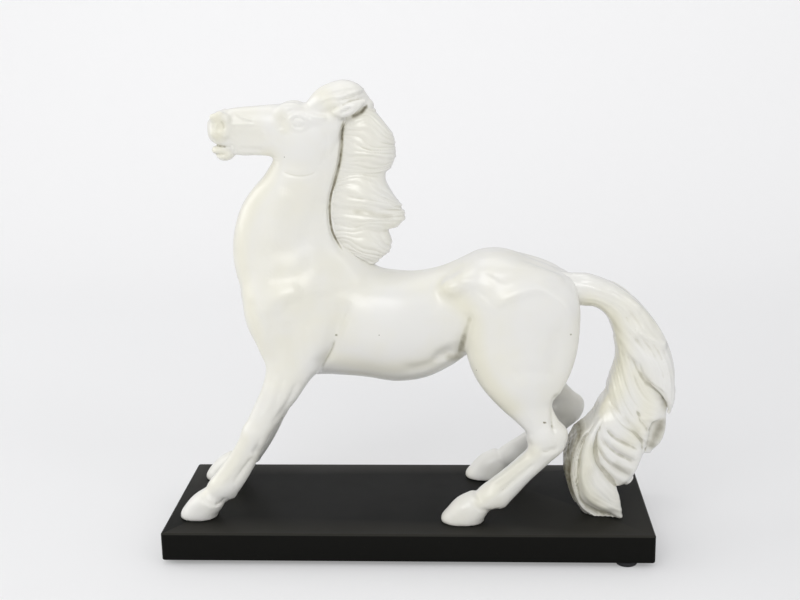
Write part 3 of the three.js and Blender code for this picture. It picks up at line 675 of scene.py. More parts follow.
def strands(girth, depth, wave=0.22, beat=30.0):
    """Hair combed along a lock of a girth: rounded ridges between narrow creases, drifting as they run."""
    count = max(4, round(girth / STRAND_SPACING)) / 2

    def relief(x, z, u, v, travel):
        turn = np.arctan2(v, u)
        sway = np.sin(2 * turn + travel / beat) + 0.6 * np.sin(3 * turn - travel / (0.6 * beat) + 1.7)
        drift = wave * sway
        fine, broad = rounded(count * (turn + drift)), rounded(count / 2.6 * (turn + 0.7 * drift) + 0.8)
        return depth * (0.5 * fine + 0.6 * broad)

    return relief


def mirrored(stations):
    """The same stations on the other side."""
    return [[*row[:4], -row[4], row[5]] for row in stations]


figure.work(loft(HEAD, taper=-0.03, power=2.25, dome=1.5), 5)
work_pads(MUZZLE, 1)
for side in (-1, 1):
    figure.work(pad(CHEEK_X, side * CHEEK_ACROSS, CHEEK_Z, CHEEK_RADII, spin=side * CHEEK_SPIN), 5)
    work_pads(FACE, side)
    for x, z, size in NOSTRIL_RIM:
        figure.work(pad(x, side * NOSTRIL_ACROSS, z, (size, size, NOSTRIL_RIM_WIDTH)), 3)
    work_pads([NOSTRIL_HOLLOW], side, cut=True)
figure.work(loft(FORELOCK, relief=strands(75, 0.7)), 3)
for side, stations in ((-1, EAR), (1, mirrored(EAR))):
    figure.work(loft(stations, dome=2), 2.4)
    work_pads([EAR_HOLLOW], side, cut=True)

# Legs
# Four resin legs, cast apart and glued under the shoulder and the haunch. They brace against the ground: the
# forelegs reach forwards, and the hind legs fold under the rump with bent hocks.
FORELEG = [
    [-121, 186, -58, 190, -20, 10],
    [-124, 164, -57, 167, -23, 14],
    [-119, 143, -61, 143, -25, 15.5],
    [-115, 125, -73, 124, -28, 14],
    [-119, 109, -86, 106, -31, 12.2],
    [-127, 92, -99, 90, -33, 10.5],
    [-133.5, 78, -110.5, 74, -35, 9.6],
    [-139, 67, -117.5, 63, -36, 9.8],
    [-144, 58, -122.5, 52, -36.5, 8.8],
    [-151.5, 47.5, -128.5, 40.5, -37, 7.8],
    [-159.5, 37, -135.5, 29, -38, 8],
    [-166.5, 28, -142.5, 19.5, -38, 9.3],
    [-171, 19, -154, 11, -38.5, 9.3],
]
FORE_HOOF = [
    [-169, 24, -154, 13, -38.5, 9.2],
    [-177, 19, -153.5, 12, -39, 11.8],
    [-186, 10, -156, 6.5, -39, 13.6],
    [-190.5, 2.5, -159, 2.5, -39, 14.6],
    [-190.5, 0, -159.5, 0, -39, 14.6],
]
HIND_LEG = [
    [62, 204, 126, 196, -20, 10],
    [54, 184, 139, 180, -23, 16],
    [50, 158, 141, 158, -24, 18],
    [50, 136, 139, 138, -26, 18],
    [57, 117, 134, 121, -28, 16.5],
    [68, 102, 126, 106, -31, 14],
    [80, 90, 119, 96, -33, 11.5],
    [91.5, 80, 123, 85, -35, 9.8],
    [99.5, 71, 130, 75, -37, 9.6],
    [100, 62, 130, 62, -38, 10],
    [91, 52, 117, 48, -39, 9],
    [79, 42, 101, 33, -41, 8],
    [66, 32, 89, 20, -43, 8],
    [58, 25, 80, 12, -45, 9.4],
    [51, 20, 68, 9, -46, 9.4],
]
HIND_HOOF = [
    [53, 25, 67, 13, -46, 9.2],
    [42, 19, 66.5, 11.5, -46, 11.8],
    [33, 9.5, 65.5, 6, -46, 13.8],
    [28, 2.5, 63.5, 2.5, -46, 14.8],
    [28, 0, 63.5, 0, -46, 14.8],
]
FAR_FORE_SHIFT, FAR_FORE_HOOF_SHIFT, FAR_FORE_STANCE = 7, 4.5, 7
FAR_HIND_SHIFT, FAR_HIND_STANCE = 20, 4
STRIDE_START = 130
STRIDE_RISE = 2.5


def lowness(z):
    """How far down a limb a height lies, from 0 where a far limb starts to part from the near one to 1."""
    return min(max(1 - z / STRIDE_START, 0), 1)


def stride(z, shift):
    """How far along the plinth a far limb has moved at a height, against the near one."""
    return shift * min(1.0, STRIDE_RISE * lowness(z))


def far_side(stations, shift, stance, whole=False):
    """The far limb's stations, from the near limb's."""
    moved = []
    for top_x, top_z, low_x, low_z, y, wide in stations:
        height = (top_z + low_z) / 2
        step = shift if whole else stride(height, shift)
        moved.append([top_x + step, top_z, low_x + step, low_z, -y + stance * lowness(height), wide])
    return moved


def work_leg(side, shift, stance, leg, hoof, hoof_shift, pads):
    """One leg with its hoof, and the pads of its joints at x, y, z in the near leg's places."""
    far = side > 0
    figure.work(loft(far_side(leg, shift, stance) if far else leg), 7)
    for x, y, z, radii, tilt, blend in pads:
        step = stride(z, shift) if far else 0
        across = -y + stance * lowness(z) if far else y
        figure.work(pad(x + step, across, z, radii, tilt), blend)
    figure.work(loft(far_side(hoof, hoof_shift, stance, True) if far else hoof, power=2.3, dome=1), 1.6)


FORE_PADS = [
    (-126, -35.5, 70, (9.5, 11, 10.6), 30, 4),
    (-155, -38, 25.5, (10, 9, 9.8), 40, 4),
    (-147, -38, 18.5, (3.6, 3.4, 4), 0, 3),
    (-101, -34, 108, (12, 20, 10), -32, 5),
]
HIND_PADS = [
    (113, -37, 70, (15, 10.5, 10.8), 10, 4),
    (125.5, -37, 71.5, (6, 8, 6.6), 12, 3),
    (108, -38.5, 60, (8, 7, 9.6), 30, 3),
    (68, -44.5, 21, (11.5, 9, 9.8), 35, 4),
    (78, -45, 14.5, (3.8, 3.4, 4.4), 10, 3),
    (96, -33, 118, (20, 24, 12), -40, 8),
]
for side in (-1, 1):
    work_leg(side, FAR_FORE_SHIFT, FAR_FORE_STANCE, FORELEG, FORE_HOOF, FAR_FORE_HOOF_SHIFT, FORE_PADS)
    work_leg(side, FAR_HIND_SHIFT, FAR_HIND_STANCE, HIND_LEG, HIND_HOOF, FAR_HIND_SHIFT, HIND_PADS)

GLUE_GAP = 0.3
SMOOTH_IN, SMOOTH_OUT = 0.6, 0.62
BATCH = 40000


def floor_under(low, high):
    """The board's upper face and its glue, as a form that cuts away what would sink below them."""
    def distance(x, y, z):
        return np.broadcast_to(z - GLUE_GAP, (len(x), len(y), len(z)))

    return low, high, distance


figure.work(floor_under((-200, -70, -40), (160, 70, -1)), 0.4, cut=True)


class Skin:
    """A closed surface drawn off the clay: points in millimetres, four-sided faces and normals. Each point
    also holds the umber wash and painted shade brushed on it, in millimetres of hollow, and its share of
    warmer ivory."""

    def __init__(self, clay, rounds=6):
        inside = clay.depth < 0
        size = np.array(clay.depth.shape) - 1
        count = np.zeros(size, np.uint8)
        for corner in np.ndindex(2, 2, 2):
            count += inside[tuple(slice(c, c + n) for c, n in zip(corner, size))]
        active = (count > 0) & (count < 8)
        cells = np.argwhere(active)
        number = np.full(size, -1, np.int32)
        number[active] = np.arange(len(cells))
        total = np.zeros((len(cells), 3), np.float32)
        hits = np.zeros(len(cells), np.float32)
        for axis in range(3):
            for corner in np.ndindex(2, 2):
                start = np.insert(np.array(corner), axis, 0)
                step = np.eye(3, dtype=int)[axis]
                here = clay.depth[tuple((cells + start).T)]
                there = clay.depth[tuple((cells + start + step).T)]
                crossed = (here < 0) != (there < 0)
                share = here / np.where(crossed, here - there, 1)
                total += np.where(crossed[:, None], start + share[:, None] * step, 0)
                hits += crossed
        inner = total / hits[:, None]
        self.points = np.stack([axis[cells[:, i]] + inner[:, i] * (axis[cells[:, i] + 1] - axis[cells[:, i]])
                                for i, axis in enumerate(clay.axes)], 1).astype(np.float64)
        faces = []
        for axis in range(3):
            b, c = (axis + 1) % 3, (axis + 2) % 3
            ends = [slice(None)] * 3
            ends[axis] = slice(None, -1)
            first = inside[tuple(ends)]
            ends[axis] = slice(1, None)
            second = inside[tuple(ends)]
            edges = np.argwhere(first != second)
            edges = edges[(edges[:, b] > 0) & (edges[:, c] > 0)
                          & (edges[:, b] < size[b]) & (edges[:, c] < size[c])]
            leaving = first[tuple(edges.T)]
            around = []
            for back_b, back_c in ((0, 0), (1, 0), (1, 1), (0, 1)):
                cell = edges.copy()
                cell[:, b] -= back_b
                cell[:, c] -= back_c
                around.append(number[tuple(cell.T)])
            quads = np.stack(around, 1)
            quads[~leaving] = quads[~leaving][:, ::-1]
            faces.append(quads)
        self.quads = np.concatenate(faces)
        ends = self.quads[:, [0, 1, 2, 3]].ravel(), self.quads[:, [1, 2, 3, 0]].ravel()
        self.links = np.concatenate(ends), np.concatenate(ends[::-1])
        self.degree = np.bincount(self.links[0], minlength=len(self.points))
        for _ in range(rounds):
            self.points += SMOOTH_IN * (self.mean(self.points) - self.points)
            self.points -= SMOOTH_OUT * (self.mean(self.points) - self.points)
        self.brushed_wash_and_shade = np.zeros(len(self.points))
        self.tint = np.zeros(len(self.points))
        self.turn_normals()

    def mean(self, values):
        """The mean of each point's neighbours."""
        sums = [np.bincount(self.links[0], column[self.links[1]], len(self.degree)) for column in values.T]
        return np.stack(sums, 1) / self.degree[:, None]

    def turn_normals(self):
        """Works out each point's normal from the faces round it."""
        corner = self.points[self.quads]
        face = np.cross(corner[:, 2] - corner[:, 0], corner[:, 3] - corner[:, 1])
        where = self.quads.ravel()
        sums = [np.bincount(where, np.repeat(column, 4), len(self.points)) for column in face.T]
        self.normals = np.stack(sums, 1)
        self.normals /= np.maximum(np.linalg.norm(self.normals, axis=1), 1e-9)[:, None]

    def press(self, line, depth, reach, facing=0, behind=None, fade=True, brush=False, cream=False):
        """Draws a tool along a line in the side view: a groove of a depth and reach, or a ridge where the
        depth is negative. facing picks the skin that looks to the near (-1) or far (1) side, and behind is
        the reach left of the line. A brush leaves colour there instead, as much as such a hollow would hold:
        umber wash, and painted shade where the line stands for shade. cream leaves a share of warmer ivory."""
        path = smooth_path(line)
        widest = 2.2 * max(reach, behind or reach)
        low, high = path.min(0) - widest, path.max(0) + widest
        side = self.points[:, [0, 2]]
        close = np.flatnonzero(np.all((side > low) & (side < high), axis=1)
                               & ((facing == 0) | (self.normals[:, 1] * facing > 0.05)
                                  & (self.points[:, 1] * facing > 0)))
        if not len(close):
            return
        away, share, left = to_path(side[close], path)
        width = np.where(left, behind or reach, reach)
        strength = np.exp(-(away / width)**2)
        if fade:
            for end in (share, 1 - share):
                rise = np.clip(5 * end, 0, 1)
                strength *= rise**2 * (3 - 2 * rise)
        if facing:
            strength *= np.clip(self.normals[close, 1] * facing * 2.5 - 0.1, 0, 1)
        if cream:
            self.tint[close] = np.maximum(self.tint[close], depth * strength)
        elif brush:
            self.brushed_wash_and_shade[close] = np.maximum(self.brushed_wash_and_shade[close], depth * strength)
        else:
            self.points[close] -= self.normals[close] * (depth * strength)[:, None]

    def hollow(self, rounds, most):
        """How far each point lies below the skin round it, up to a most, or the umber wash and painted shade
        brushed there.
        """
        mean = self.points
        for _ in range(rounds):
            mean = self.mean(mean)
        return np.maximum(np.minimum(np.sum((mean - self.points) * self.normals, axis=1), most), self.brushed_wash_and_shade)


def smooth_path(line, spacing=0.8):
    """A curve through the points of a line, sampled evenly enough for its nearest sample to serve."""
    line = np.array(line, float)
    if len(line) == 2:
        line = np.vstack([line[0], line.mean(0), line[1]])
    steps = np.hypot(*np.diff(line, axis=0).T)
    travel = np.concatenate([[0], np.cumsum(steps)])
    slopes = np.diff(line, axis=0) / steps[:, None]
    tangents = np.vstack([slopes[:1], (slopes[:-1] + slopes[1:]) / 2, slopes[-1:]])
    return cubics(line, tangents, travel, np.linspace(0, travel[-1], max(8, round(travel[-1] / spacing))))


def to_path(points, path):
    """Each point's distance to a path, its share along it, and whether it lies on the path's left."""
    away, share, left = (np.zeros(len(points)) for _ in range(3))
    for start in range(0, len(points), BATCH):
        part = slice(start, start + BATCH)
        gaps = points[part, None, :] - path[None]
        square = np.sum(gaps**2, axis=2)
        nearest = np.argmin(square, axis=1)
        away[part] = np.sqrt(square[np.arange(len(nearest)), nearest])
        share[part] = nearest / (len(path) - 1)
        ahead = path[np.minimum(nearest + 1, len(path) - 1)] - path[np.maximum(nearest - 1, 0)]
        gap = gaps[np.arange(len(nearest)), nearest]
        left[part] = ahead[:, 0] * gap[:, 1] - ahead[:, 1] * gap[:, 0] > 0
    return away, share, left.astype(bool)


figure_skin = Skin(figure)

# Tool marks on the whole figure
# Creases and ridges drawn in with a loop tool before casting, the same on both sides: each is a line in the
# side view with its depth, its reach and, where it differs, its reach behind. A ridge has a negative depth.
BODY_MARKS = [
    ([(-70, 121), (-64, 132), (-58, 143), (-54.5, 156), (-50, 168), (-43, 184)], 2.6, 3.5, 8),
    ([(-71, 120), (-65, 131), (-59, 143), (-56, 154)], 1.4, 1.6),
    ([(-34, 186), (-16, 188), (6, 186), (28, 184)], -1.0, 9),
    ([(42, 128), (46, 147), (50, 161), (55, 176)], 2.2, 4),
    ([(43, 130), (46, 144), (48, 156)], 0.8, 2.2),
    ([(42, 138), (30, 134), (16, 127), (-4, 124)], 1.3, 5),
    ([(-106, 284), (-114, 262), (-118, 236), (-115, 208)], 0.9, 8),
    ([(-62, 268), (-74, 244), (-84, 222)], 1.2, 7, 9),
    ([(-92, 275), (-100, 250), (-104, 224)], -1.1, 8),
    ([(-70, 216), (-84, 206), (-96, 203), (-112, 206)], 1.3, 8),
    ([(-121, 172), (-106, 181), (-95, 189), (-80, 196)], -1.9, 7.5),
    ([(-106, 168), (-104, 150), (-102, 128)], 0.8, 6),
    ([(-92, 172), (-89, 150), (-85, 128)], 0.9, 6),
    ([(-78, 166), (-74, 150), (-73, 134)], -0.8, 4),
    ([(68, 178), (88, 189), (100, 192.5), (108, 193), (120, 187), (126, 182), (137, 165)], -1.8, 3.6, 6),
    ([(62, 184), (68, 192), (74, 204)], 0.9, 9),
    ([(74, 190), (88, 197), (104, 200), (120, 194), (131, 183)], 0.7, 7),
    ([(80, 176), (94, 182), (108, 181), (120, 172)], 0.5, 8),
    ([(118, 165), (122, 148), (118, 130), (110, 118)], 1.3, 7),
    ([(84, 122), (98, 128), (112, 124)], 1.1, 6),
    ([(59, 178), (56, 160), (60, 140)], -0.9, 6),
    ([(46, 210), (58, 205), (72, 200)], 0.7, 6),
]
# The crease where the mane meets the neck's crest: a groove, brushed with umber wash and darkened further as
# painted shade
CREST_CREASE = [(-45, 331), (-48, 318), (-49, 304), (-51.5, 290), (-55, 278), (-59, 264), (-60, 250),
              (-58, 236), (-52, 224), (-44, 216)]
# Painted shade brushed into the flank hollow ahead of the haunch
FLANK_PAINTED_SHADE = [(36, 133), (43, 131)]
PINHOLES = [(-55.5, 155.5), (133, 155), (112.5, 84)]
HEAD_MARKS = [
    ([(-99, 288), (-91, 284.5), (-83, 283), (-74, 284), (-66, 288)], 0.35, 1.6, 2.6),
    ([(-67, 288), (-63, 295), (-60.5, 306), (-59.5, 318)], 0.4, 2),
    ([(-134, 303.5), (-120, 303), (-109, 302)], 0.9, 2.4),
    ([(-138, 323.8), (-129, 323.5), (-117, 323.6)], -0.8, 1.1),
    ([(-134, 332.5), (-127, 328.9), (-118, 326.4)], -0.7, 1.1),
    ([(-137, 316), (-126, 314.5), (-108, 313)], 1.2, 5),
    ([(-106, 322), (-98, 318), (-92, 312)], 0.3, 5),
    ([(-138, 332), (-135.8, 326), (-135.6, 319), (-138, 313)], 0.5, 1.8),
    ([(-89.5, 325.6), (-86.6, 330), (-81.6, 331), (-76.6, 328.8), (-73.6, 325.4)], -0.9, 1.2),
    ([(-87.4, 325.2), (-84.8, 328.2), (-81, 328.8), (-77, 326)], 0.6, 0.8),
    ([(-87.2, 324.4), (-84.4, 321.9), (-80.2, 321.8), (-76.6, 324.6)], 0.5, 0.8),
    ([(-89, 323.2), (-85, 319.6), (-79, 319.4), (-74, 322.6)], -0.4, 1.4),
    ([(-92, 331.6), (-86, 334.4), (-79, 334), (-73, 330.6)], 0.5, 1.8),
    ([(-74, 330), (-67, 328.8), (-59, 327.6)], -1.1, 1.1),
    ([(-93, 329), (-96, 324), (-96, 319)], 0.8, 3),
    ([(-148, 326.5), (-150.6, 323), (-149, 318.6)], 0.7, 1.3),
    ([(-143, 327), (-141.4, 323.6), (-142.6, 319.6)], 0.5, 1.1),
    ([(-26.5, 339), (-29, 335.3), (-33, 331.4), (-36.3, 329.1), (-41, 328), (-46, 326.9), (-52, 325.6)],
     1.6, 1.5),
    ([(-49.5, 336.2), (-44.7, 340), (-38.3, 342.4), (-28, 343)], 1.1, 1.1),
]
# Brushed colour: umber wash along the nostril, umber wash with painted shade in the crest crease, and painted
# shade under the ear and along the jaw under the cheek
FIGURE_WASH_AND_SHADE = [
    ([(-146.5, 326), (-144, 325.4), (-142.6, 322.5), (-143, 319.4)], 0.9, 1.6),
    (CREST_CREASE, 2.6, 0.9),
    (CREST_CREASE[:6], 1.9, 1.5),
    ([(-27, 339.6), (-29, 335.3), (-33, 331.4), (-36.3, 329.1), (-41, 327.8), (-47, 326.6)], 1.9, 1.2),
    ([(-99, 288), (-91, 284.5), (-83, 283), (-74, 284), (-66, 288)], 0.75, 1.3),
]
MOUTH = [(-160, 311), (-156.5, 308), (-152, 306.4), (-146, 305.6), (-140, 305)]
# Painted shade in the slit of the slightly open mouth
MOUTH_PAINTED_SHADE = [(-150, 306.2), (-146, 305.5), (-142, 305.2)]
MOUTH_CORNER = [(-141, 305), (-137, 306.6), (-135.6, 303.5), (-137, 300)]
CHIN_LINE = [(-154, 299.6), (-149, 299), (-143, 299.4)]
CROWN_LINES = [
    ([(-72, 343), (-64, 349), (-52, 352.5), (-36, 352)], 0.7, 1.6),
    ([(-66, 342), (-56, 346.5), (-46, 349), (-33, 350.5)], 0.7, 1.3),
    ([(-46, 345.2), (-40.6, 346.4), (-35.1, 348), (-29.6, 348.8)], -1.2, 0.9),
    ([(-50, 341), (-47, 342.5), (-40.7, 343.9), (-35.1, 345.6), (-29, 346.8)], 1.3, 1.1),
    ([(-68, 336), (-60, 341), (-54, 342.5), (-48, 340.5)], 0.6, 1.6),
]
CREAM = [
    ([(-148, 329), (-146, 322), (-148, 315)], 1.0, 8),
    ([(-154, 303), (-144, 299)], 0.8, 6),
    ([(-96, 329), (-93, 321)], 0.5, 7),
    ([(-72, 352), (-60, 345), (-56, 335)], 0.6, 8),
    ([(-108, 296), (-110, 282), (-122, 262), (-132, 236), (-132, 205), (-126, 180), (-120, 150),
      (-126, 110)], 0.75, 11),
    ([(34, 190), (46, 180), (54, 168), (56, 146), (66, 118), (84, 96)], 0.9, 11),
    ([(46, 206), (40, 196)], 0.5, 9),
    ([(-60, 136), (-20, 126), (20, 130)], 0.6, 9),
    ([(-170, 26), (-150, 40), (-134, 70)], 0.6, 8),
    ([(104, 60), (80, 36), (60, 20)], 0.7, 8),
]
FORE_MARKS = [
    ([(-97, 126), (-104, 106), (-111, 86)], 0.9, 3.2),
    ([(-86, 121), (-98, 97), (-111, 80)], 1.2, 2.6),
    ([(-108, 122), (-114, 104), (-121, 88)], 0.7, 3),
    ([(-119, 72), (-122, 64), (-127, 55)], 0.8, 2.2),
    ([(-126, 55), (-136, 42), (-145, 30)], 1.0, 1.8),
    ([(-136, 52), (-146, 40), (-155, 30)], -0.6, 2.4),
    ([(-151, 19), (-155, 14.5), (-160, 14)], 1.0, 1.4),
]
FORE_CORONET = [(-172, 22.5), (-166, 16.5), (-160, 13.6), (-153, 12.4)]
HIND_MARKS = [
    ([(122, 108), (121, 96), (119, 84), (118, 78)], 2.1, 2.6),
    ([(118.5, 82), (119.5, 78), (120, 75)], 1.5, 1.6),
    ([(108, 62), (113, 60.5), (119, 62), (124, 62)], 1.5, 2.0),
    ([(102, 57), (92, 49), (78, 38), (64, 28.5)], -1.6, 1.6),
    ([(97, 57), (88, 50), (75, 39), (63, 31)], 0.7, 1.6),
    ([(108, 53), (96, 43), (82, 31), (73, 23)], 1.4, 1.8),
    ([(104, 76), (100, 70), (101, 62)], 0.6, 2.5),
    ([(76, 12), (71, 10.5), (66, 11.5)], 1.1, 1.5),
    ([(46, 17), (38, 6)], -0.5, 2.5),
]
HIND_CORONET = [(52, 23), (56, 17), (61, 13.5), (68, 11.5)]
CORONET_DEPTH, CORONET_REACH = 0.7, 1.2
PINHOLE_HALF, PINHOLE_DARKNESS, PINHOLE_REACH = 0.4, 2.5, 0.6


def shifted(line, shift, whole=False):
    """A mark's line moved to the far limb."""
    return [(x + (shift if whole else stride(z, shift)), z) for x, z in line]


for side in (-1, 1):
    for line, depth, *reaches in BODY_MARKS + HEAD_MARKS:
        figure_skin.press(line, depth, reaches[0], side, reaches[-1])
    for marks, shift in ((FORE_MARKS, FAR_FORE_SHIFT), (HIND_MARKS, FAR_HIND_SHIFT)):
        for line, depth, reach in marks:
            figure_skin.press(shifted(line, shift) if side > 0 else line, depth, reach, side)
    for line, shift in ((FORE_CORONET, FAR_FORE_HOOF_SHIFT), (HIND_CORONET, FAR_HIND_SHIFT)):
        line = shifted(line, shift, True) if side > 0 else line
        figure_skin.press(line, CORONET_DEPTH, CORONET_REACH, side)
    for line, depth, reach in CROWN_LINES:
        figure_skin.press(line, depth, reach, side)
    for line, strength, reach in CREAM:
        figure_skin.press(line, strength, reach, side, fade=False, cream=True)
    figure_skin.press(MOUTH_CORNER, 0.9, 1.0, side)
    figure_skin.press(CREST_CREASE, 2.2, 1.6, side, 2.6)
    # Umber wash and painted shade brushed into the creases
    for line, strength, reach in FIGURE_WASH_AND_SHADE:
        figure_skin.press(line, strength, reach, side, brush=True)
    # Painted shade in the flank hollow
    figure_skin.press(FLANK_PAINTED_SHADE, 1.05, 5.5, side, fade=False, brush=True)
figure_skin.press(MOUTH, 1.2, 0.9, fade=False)
# Painted shade in the mouth slit
figure_skin.press(MOUTH_PAINTED_SHADE, 1.6, 1.1, brush=True)
figure_skin.press(CHIN_LINE, 1.4, 1.1)
# A darker line brushed along the chin crease
figure_skin.press(CHIN_LINE, 0.8, 1.0, brush=True)
for x, z in PINHOLES:
    dot = [(x - PINHOLE_HALF, z), (x + PINHOLE_HALF, z)]
    figure_skin.press(dot, PINHOLE_DARKNESS, PINHOLE_REACH, -1, fade=False, brush=True)
figure_skin.turn_normals()

# Coat on the figure
# The glued seams under the shoulder, haunch and jaw are filled and sanded away before the gloss coat, so the
# skin runs on over them. Each casting is still its own piece, closed across its seam inside.
JAW_SEAM = [(-128, 293), (-112, 290.5), (-104, 286), (-95, 281.5), (-85, 279.5), (-75, 280), (-66, 284),
            (-59, 294), (-54, 308), (-50, 320), (-46, 328)]
HEAD_REGION = JAW_SEAM + [(20, 331), (20, 370), (-200, 370), (-200, 293)]
FORE_REGION = [(-210, 126), (-80, 126), (-80, 90), (-60, 60), (-60, -10), (-210, -10)]
HIND_REGION = [(48, 127.5), (140, 112), (175, 106), (175, -10), (20, -10), (20, 100), (48, 110)]
MIDLINE_HALF = 3
IVORY = "#F2F1EC"
IVORY_WARM = "#F1EEDB"
WASH = "#B3AD88"
WASH_DEEP = "#675F40"
WASH_SHARE = 0.9
MOTTLE_SIZE = 70
STREAK_SIZE = 7
COAT_PEEL_SIZE = 4.5
SANDING_SIZE = 22
PINHOLE_SPACING = 38


def within(points, region):
    """Which points of the side view lie inside a region's outline."""
    inside = np.zeros(len(points), bool)
    corners = np.array(region, float)
    for (x0, z0), (x1, z1) in zip(corners, np.roll(corners, -1, axis=0)):
        spans = (z0 > points[:, 1]) != (z1 > points[:, 1])
        if z0 != z1:
            crossing = x0 + (points[:, 1] - z0) * (x1 - x0) / (z1 - z0)
            inside ^= spans & (points[:, 0] < crossing)
    return inside


def coated_resin(name, start, crease, coat_weight, coat_blur):
    """Cast resin with a sprayed ivory gloss coat: an even pale skin with faint mottling, rare pinholes and a
    soft broad highlight. An umber wash lies in the hollows, from a start to a crease depth that it fills,
    and the same umber carries the painted shade brushed into some creases."""
    material, tree, spot = new_material(name)
    warmth = remap(tree, noise(tree, spot, MOTTLE_SIZE, 3.0, 0.55), 0.42, 0.7, 0.0, 0.6)
    tint = add_node(tree, "ShaderNodeAttribute", {"attribute_name": "tint"})
    coat = mixed(tree, reckon(tree, "MAXIMUM", warmth, tint.outputs["Fac"]), IVORY, IVORY_WARM)
    # The hollow attribute holds the umber wash of the hollows and the painted shade brushed on the skin
    hollow = add_node(tree, "ShaderNodeAttribute", {"attribute_name": "hollow"})
    depth = remap(tree, hollow.outputs["Fac"], start, crease)
    patchy = remap(tree, noise(tree, spot, STREAK_SIZE, 4.0), 0.3, 0.6, 0.7, 1.0)
    wash_and_shade = reckon(tree, "MULTIPLY", depth, patchy)
    umber = mixed(tree, wash_and_shade, WASH, WASH_DEEP)
    washed = mixed(tree, reckon(tree, "MULTIPLY", wash_and_shade, WASH_SHARE), coat, umber)
    bubbles = add_node(tree, "ShaderNodeTexVoronoi", {"Scale": 1 / (PINHOLE_SPACING * MM)}, {"Vector": spot})
    pinhole = remap(tree, bubbles.outputs["Distance"], 0.008, 0.013, 1.0, 0.0)
    sanding = noise(tree, spot, SANDING_SIZE, 2.0)
    waves = bumped(tree, sanding, 0.5, 0.5)
    ripple = bumped(tree, noise(tree, spot, COAT_PEEL_SIZE, 2.0), 0.3, 0.05, waves)
    skin = add_node(tree, "ShaderNodeBsdfPrincipled",
                    {"IOR": 1.5, "Coat Weight": coat_weight, "Coat Roughness": coat_blur},
                    {"Base Color": mixed(tree, pinhole, washed, WASH_DEEP),
                     "Roughness": remap(tree, sanding, 0.3, 0.7, 0.3, 0.38), "Normal": ripple})
    cover(tree, skin)
    return material


def skin_piece(name, skin, chosen, hollow, material, node):
    """A casting from the chosen faces of a skin, closed across each open seam, standing for its node."""
    used, corners = np.unique(skin.quads[chosen].ravel(), return_inverse=True)
    quads = corners.reshape(-1, 4)
    points, normals = skin.points[used], skin.normals[used]
    starts, ends = quads.ravel(), np.roll(quads, -1, axis=1).ravel()
    keys = starts.astype(np.int64) * len(used) + ends
    open_edge = ~np.isin(ends.astype(np.int64) * len(used) + starts, keys)
    following = dict(zip(ends[open_edge].tolist(), starts[open_edge].tolist()))
    caps, hubs = [], []
    while following:
        first, here = following.popitem()
        loop = [first]
        while here != first and here in following:
            loop.append(here)
            here = following.pop(here)
        hub = len(points) + len(hubs)
        hubs.append(points[loop].mean(0))
        caps += [(hub, a, b) for a, b in zip(loop, loop[1:] + loop[:1])]
    if hubs:
        points = np.vstack([points, hubs])
        normals = np.vstack([normals, np.tile([0.0, 0.0, 1.0], (len(hubs), 1))])
    piece = mesh_object(name, np.array(board_top_centre) + points * MM, quads, caps)
    piece.data.normals_split_custom_set_from_vertices(normals)
    mark = piece.data.attributes.new("hollow", "FLOAT", "POINT")
    mark.data.foreach_set("value", np.append(hollow[used], np.zeros(len(hubs))).astype(np.float32))
    mark = piece.data.attributes.new("tint", "FLOAT", "POINT")
    mark.data.foreach_set("value", np.append(skin.tint[used], np.zeros(len(hubs))).astype(np.float32))
    piece.data.materials.append(material)
    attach(piece, "root")
    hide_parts(node)
    return piece


plain_resin = coated_resin("gloss_coated_cast_resin", start=0.45, crease=1.5, coat_weight=0.42,
                           coat_blur=0.22)
figure_hollow = figure_skin.hollow(rounds=14, most=1.3)
face_middle = figure_skin.points[figure_skin.quads].mean(1)
view = face_middle[:, [0, 2]]
casting = {"head": within(view, HEAD_REGION)}
for limb, region in (("foreleg", FORE_REGION), ("hindleg", HIND_REGION)):
    casting[f"near_{limb}"] = within(view, region) & (face_middle[:, 1] < -MIDLINE_HALF)
    casting[f"far_{limb}"] = within(view, region) & (face_middle[:, 1] > MIDLINE_HALF)
casting["body"] = ~np.any(list(casting.values()), axis=0)
for name, chosen in casting.items():
    node = name if name.endswith("leg") else f"{name}_casting"
    skin_piece(f"coated_{name}", figure_skin, chosen, figure_hollow, plain_resin, node)

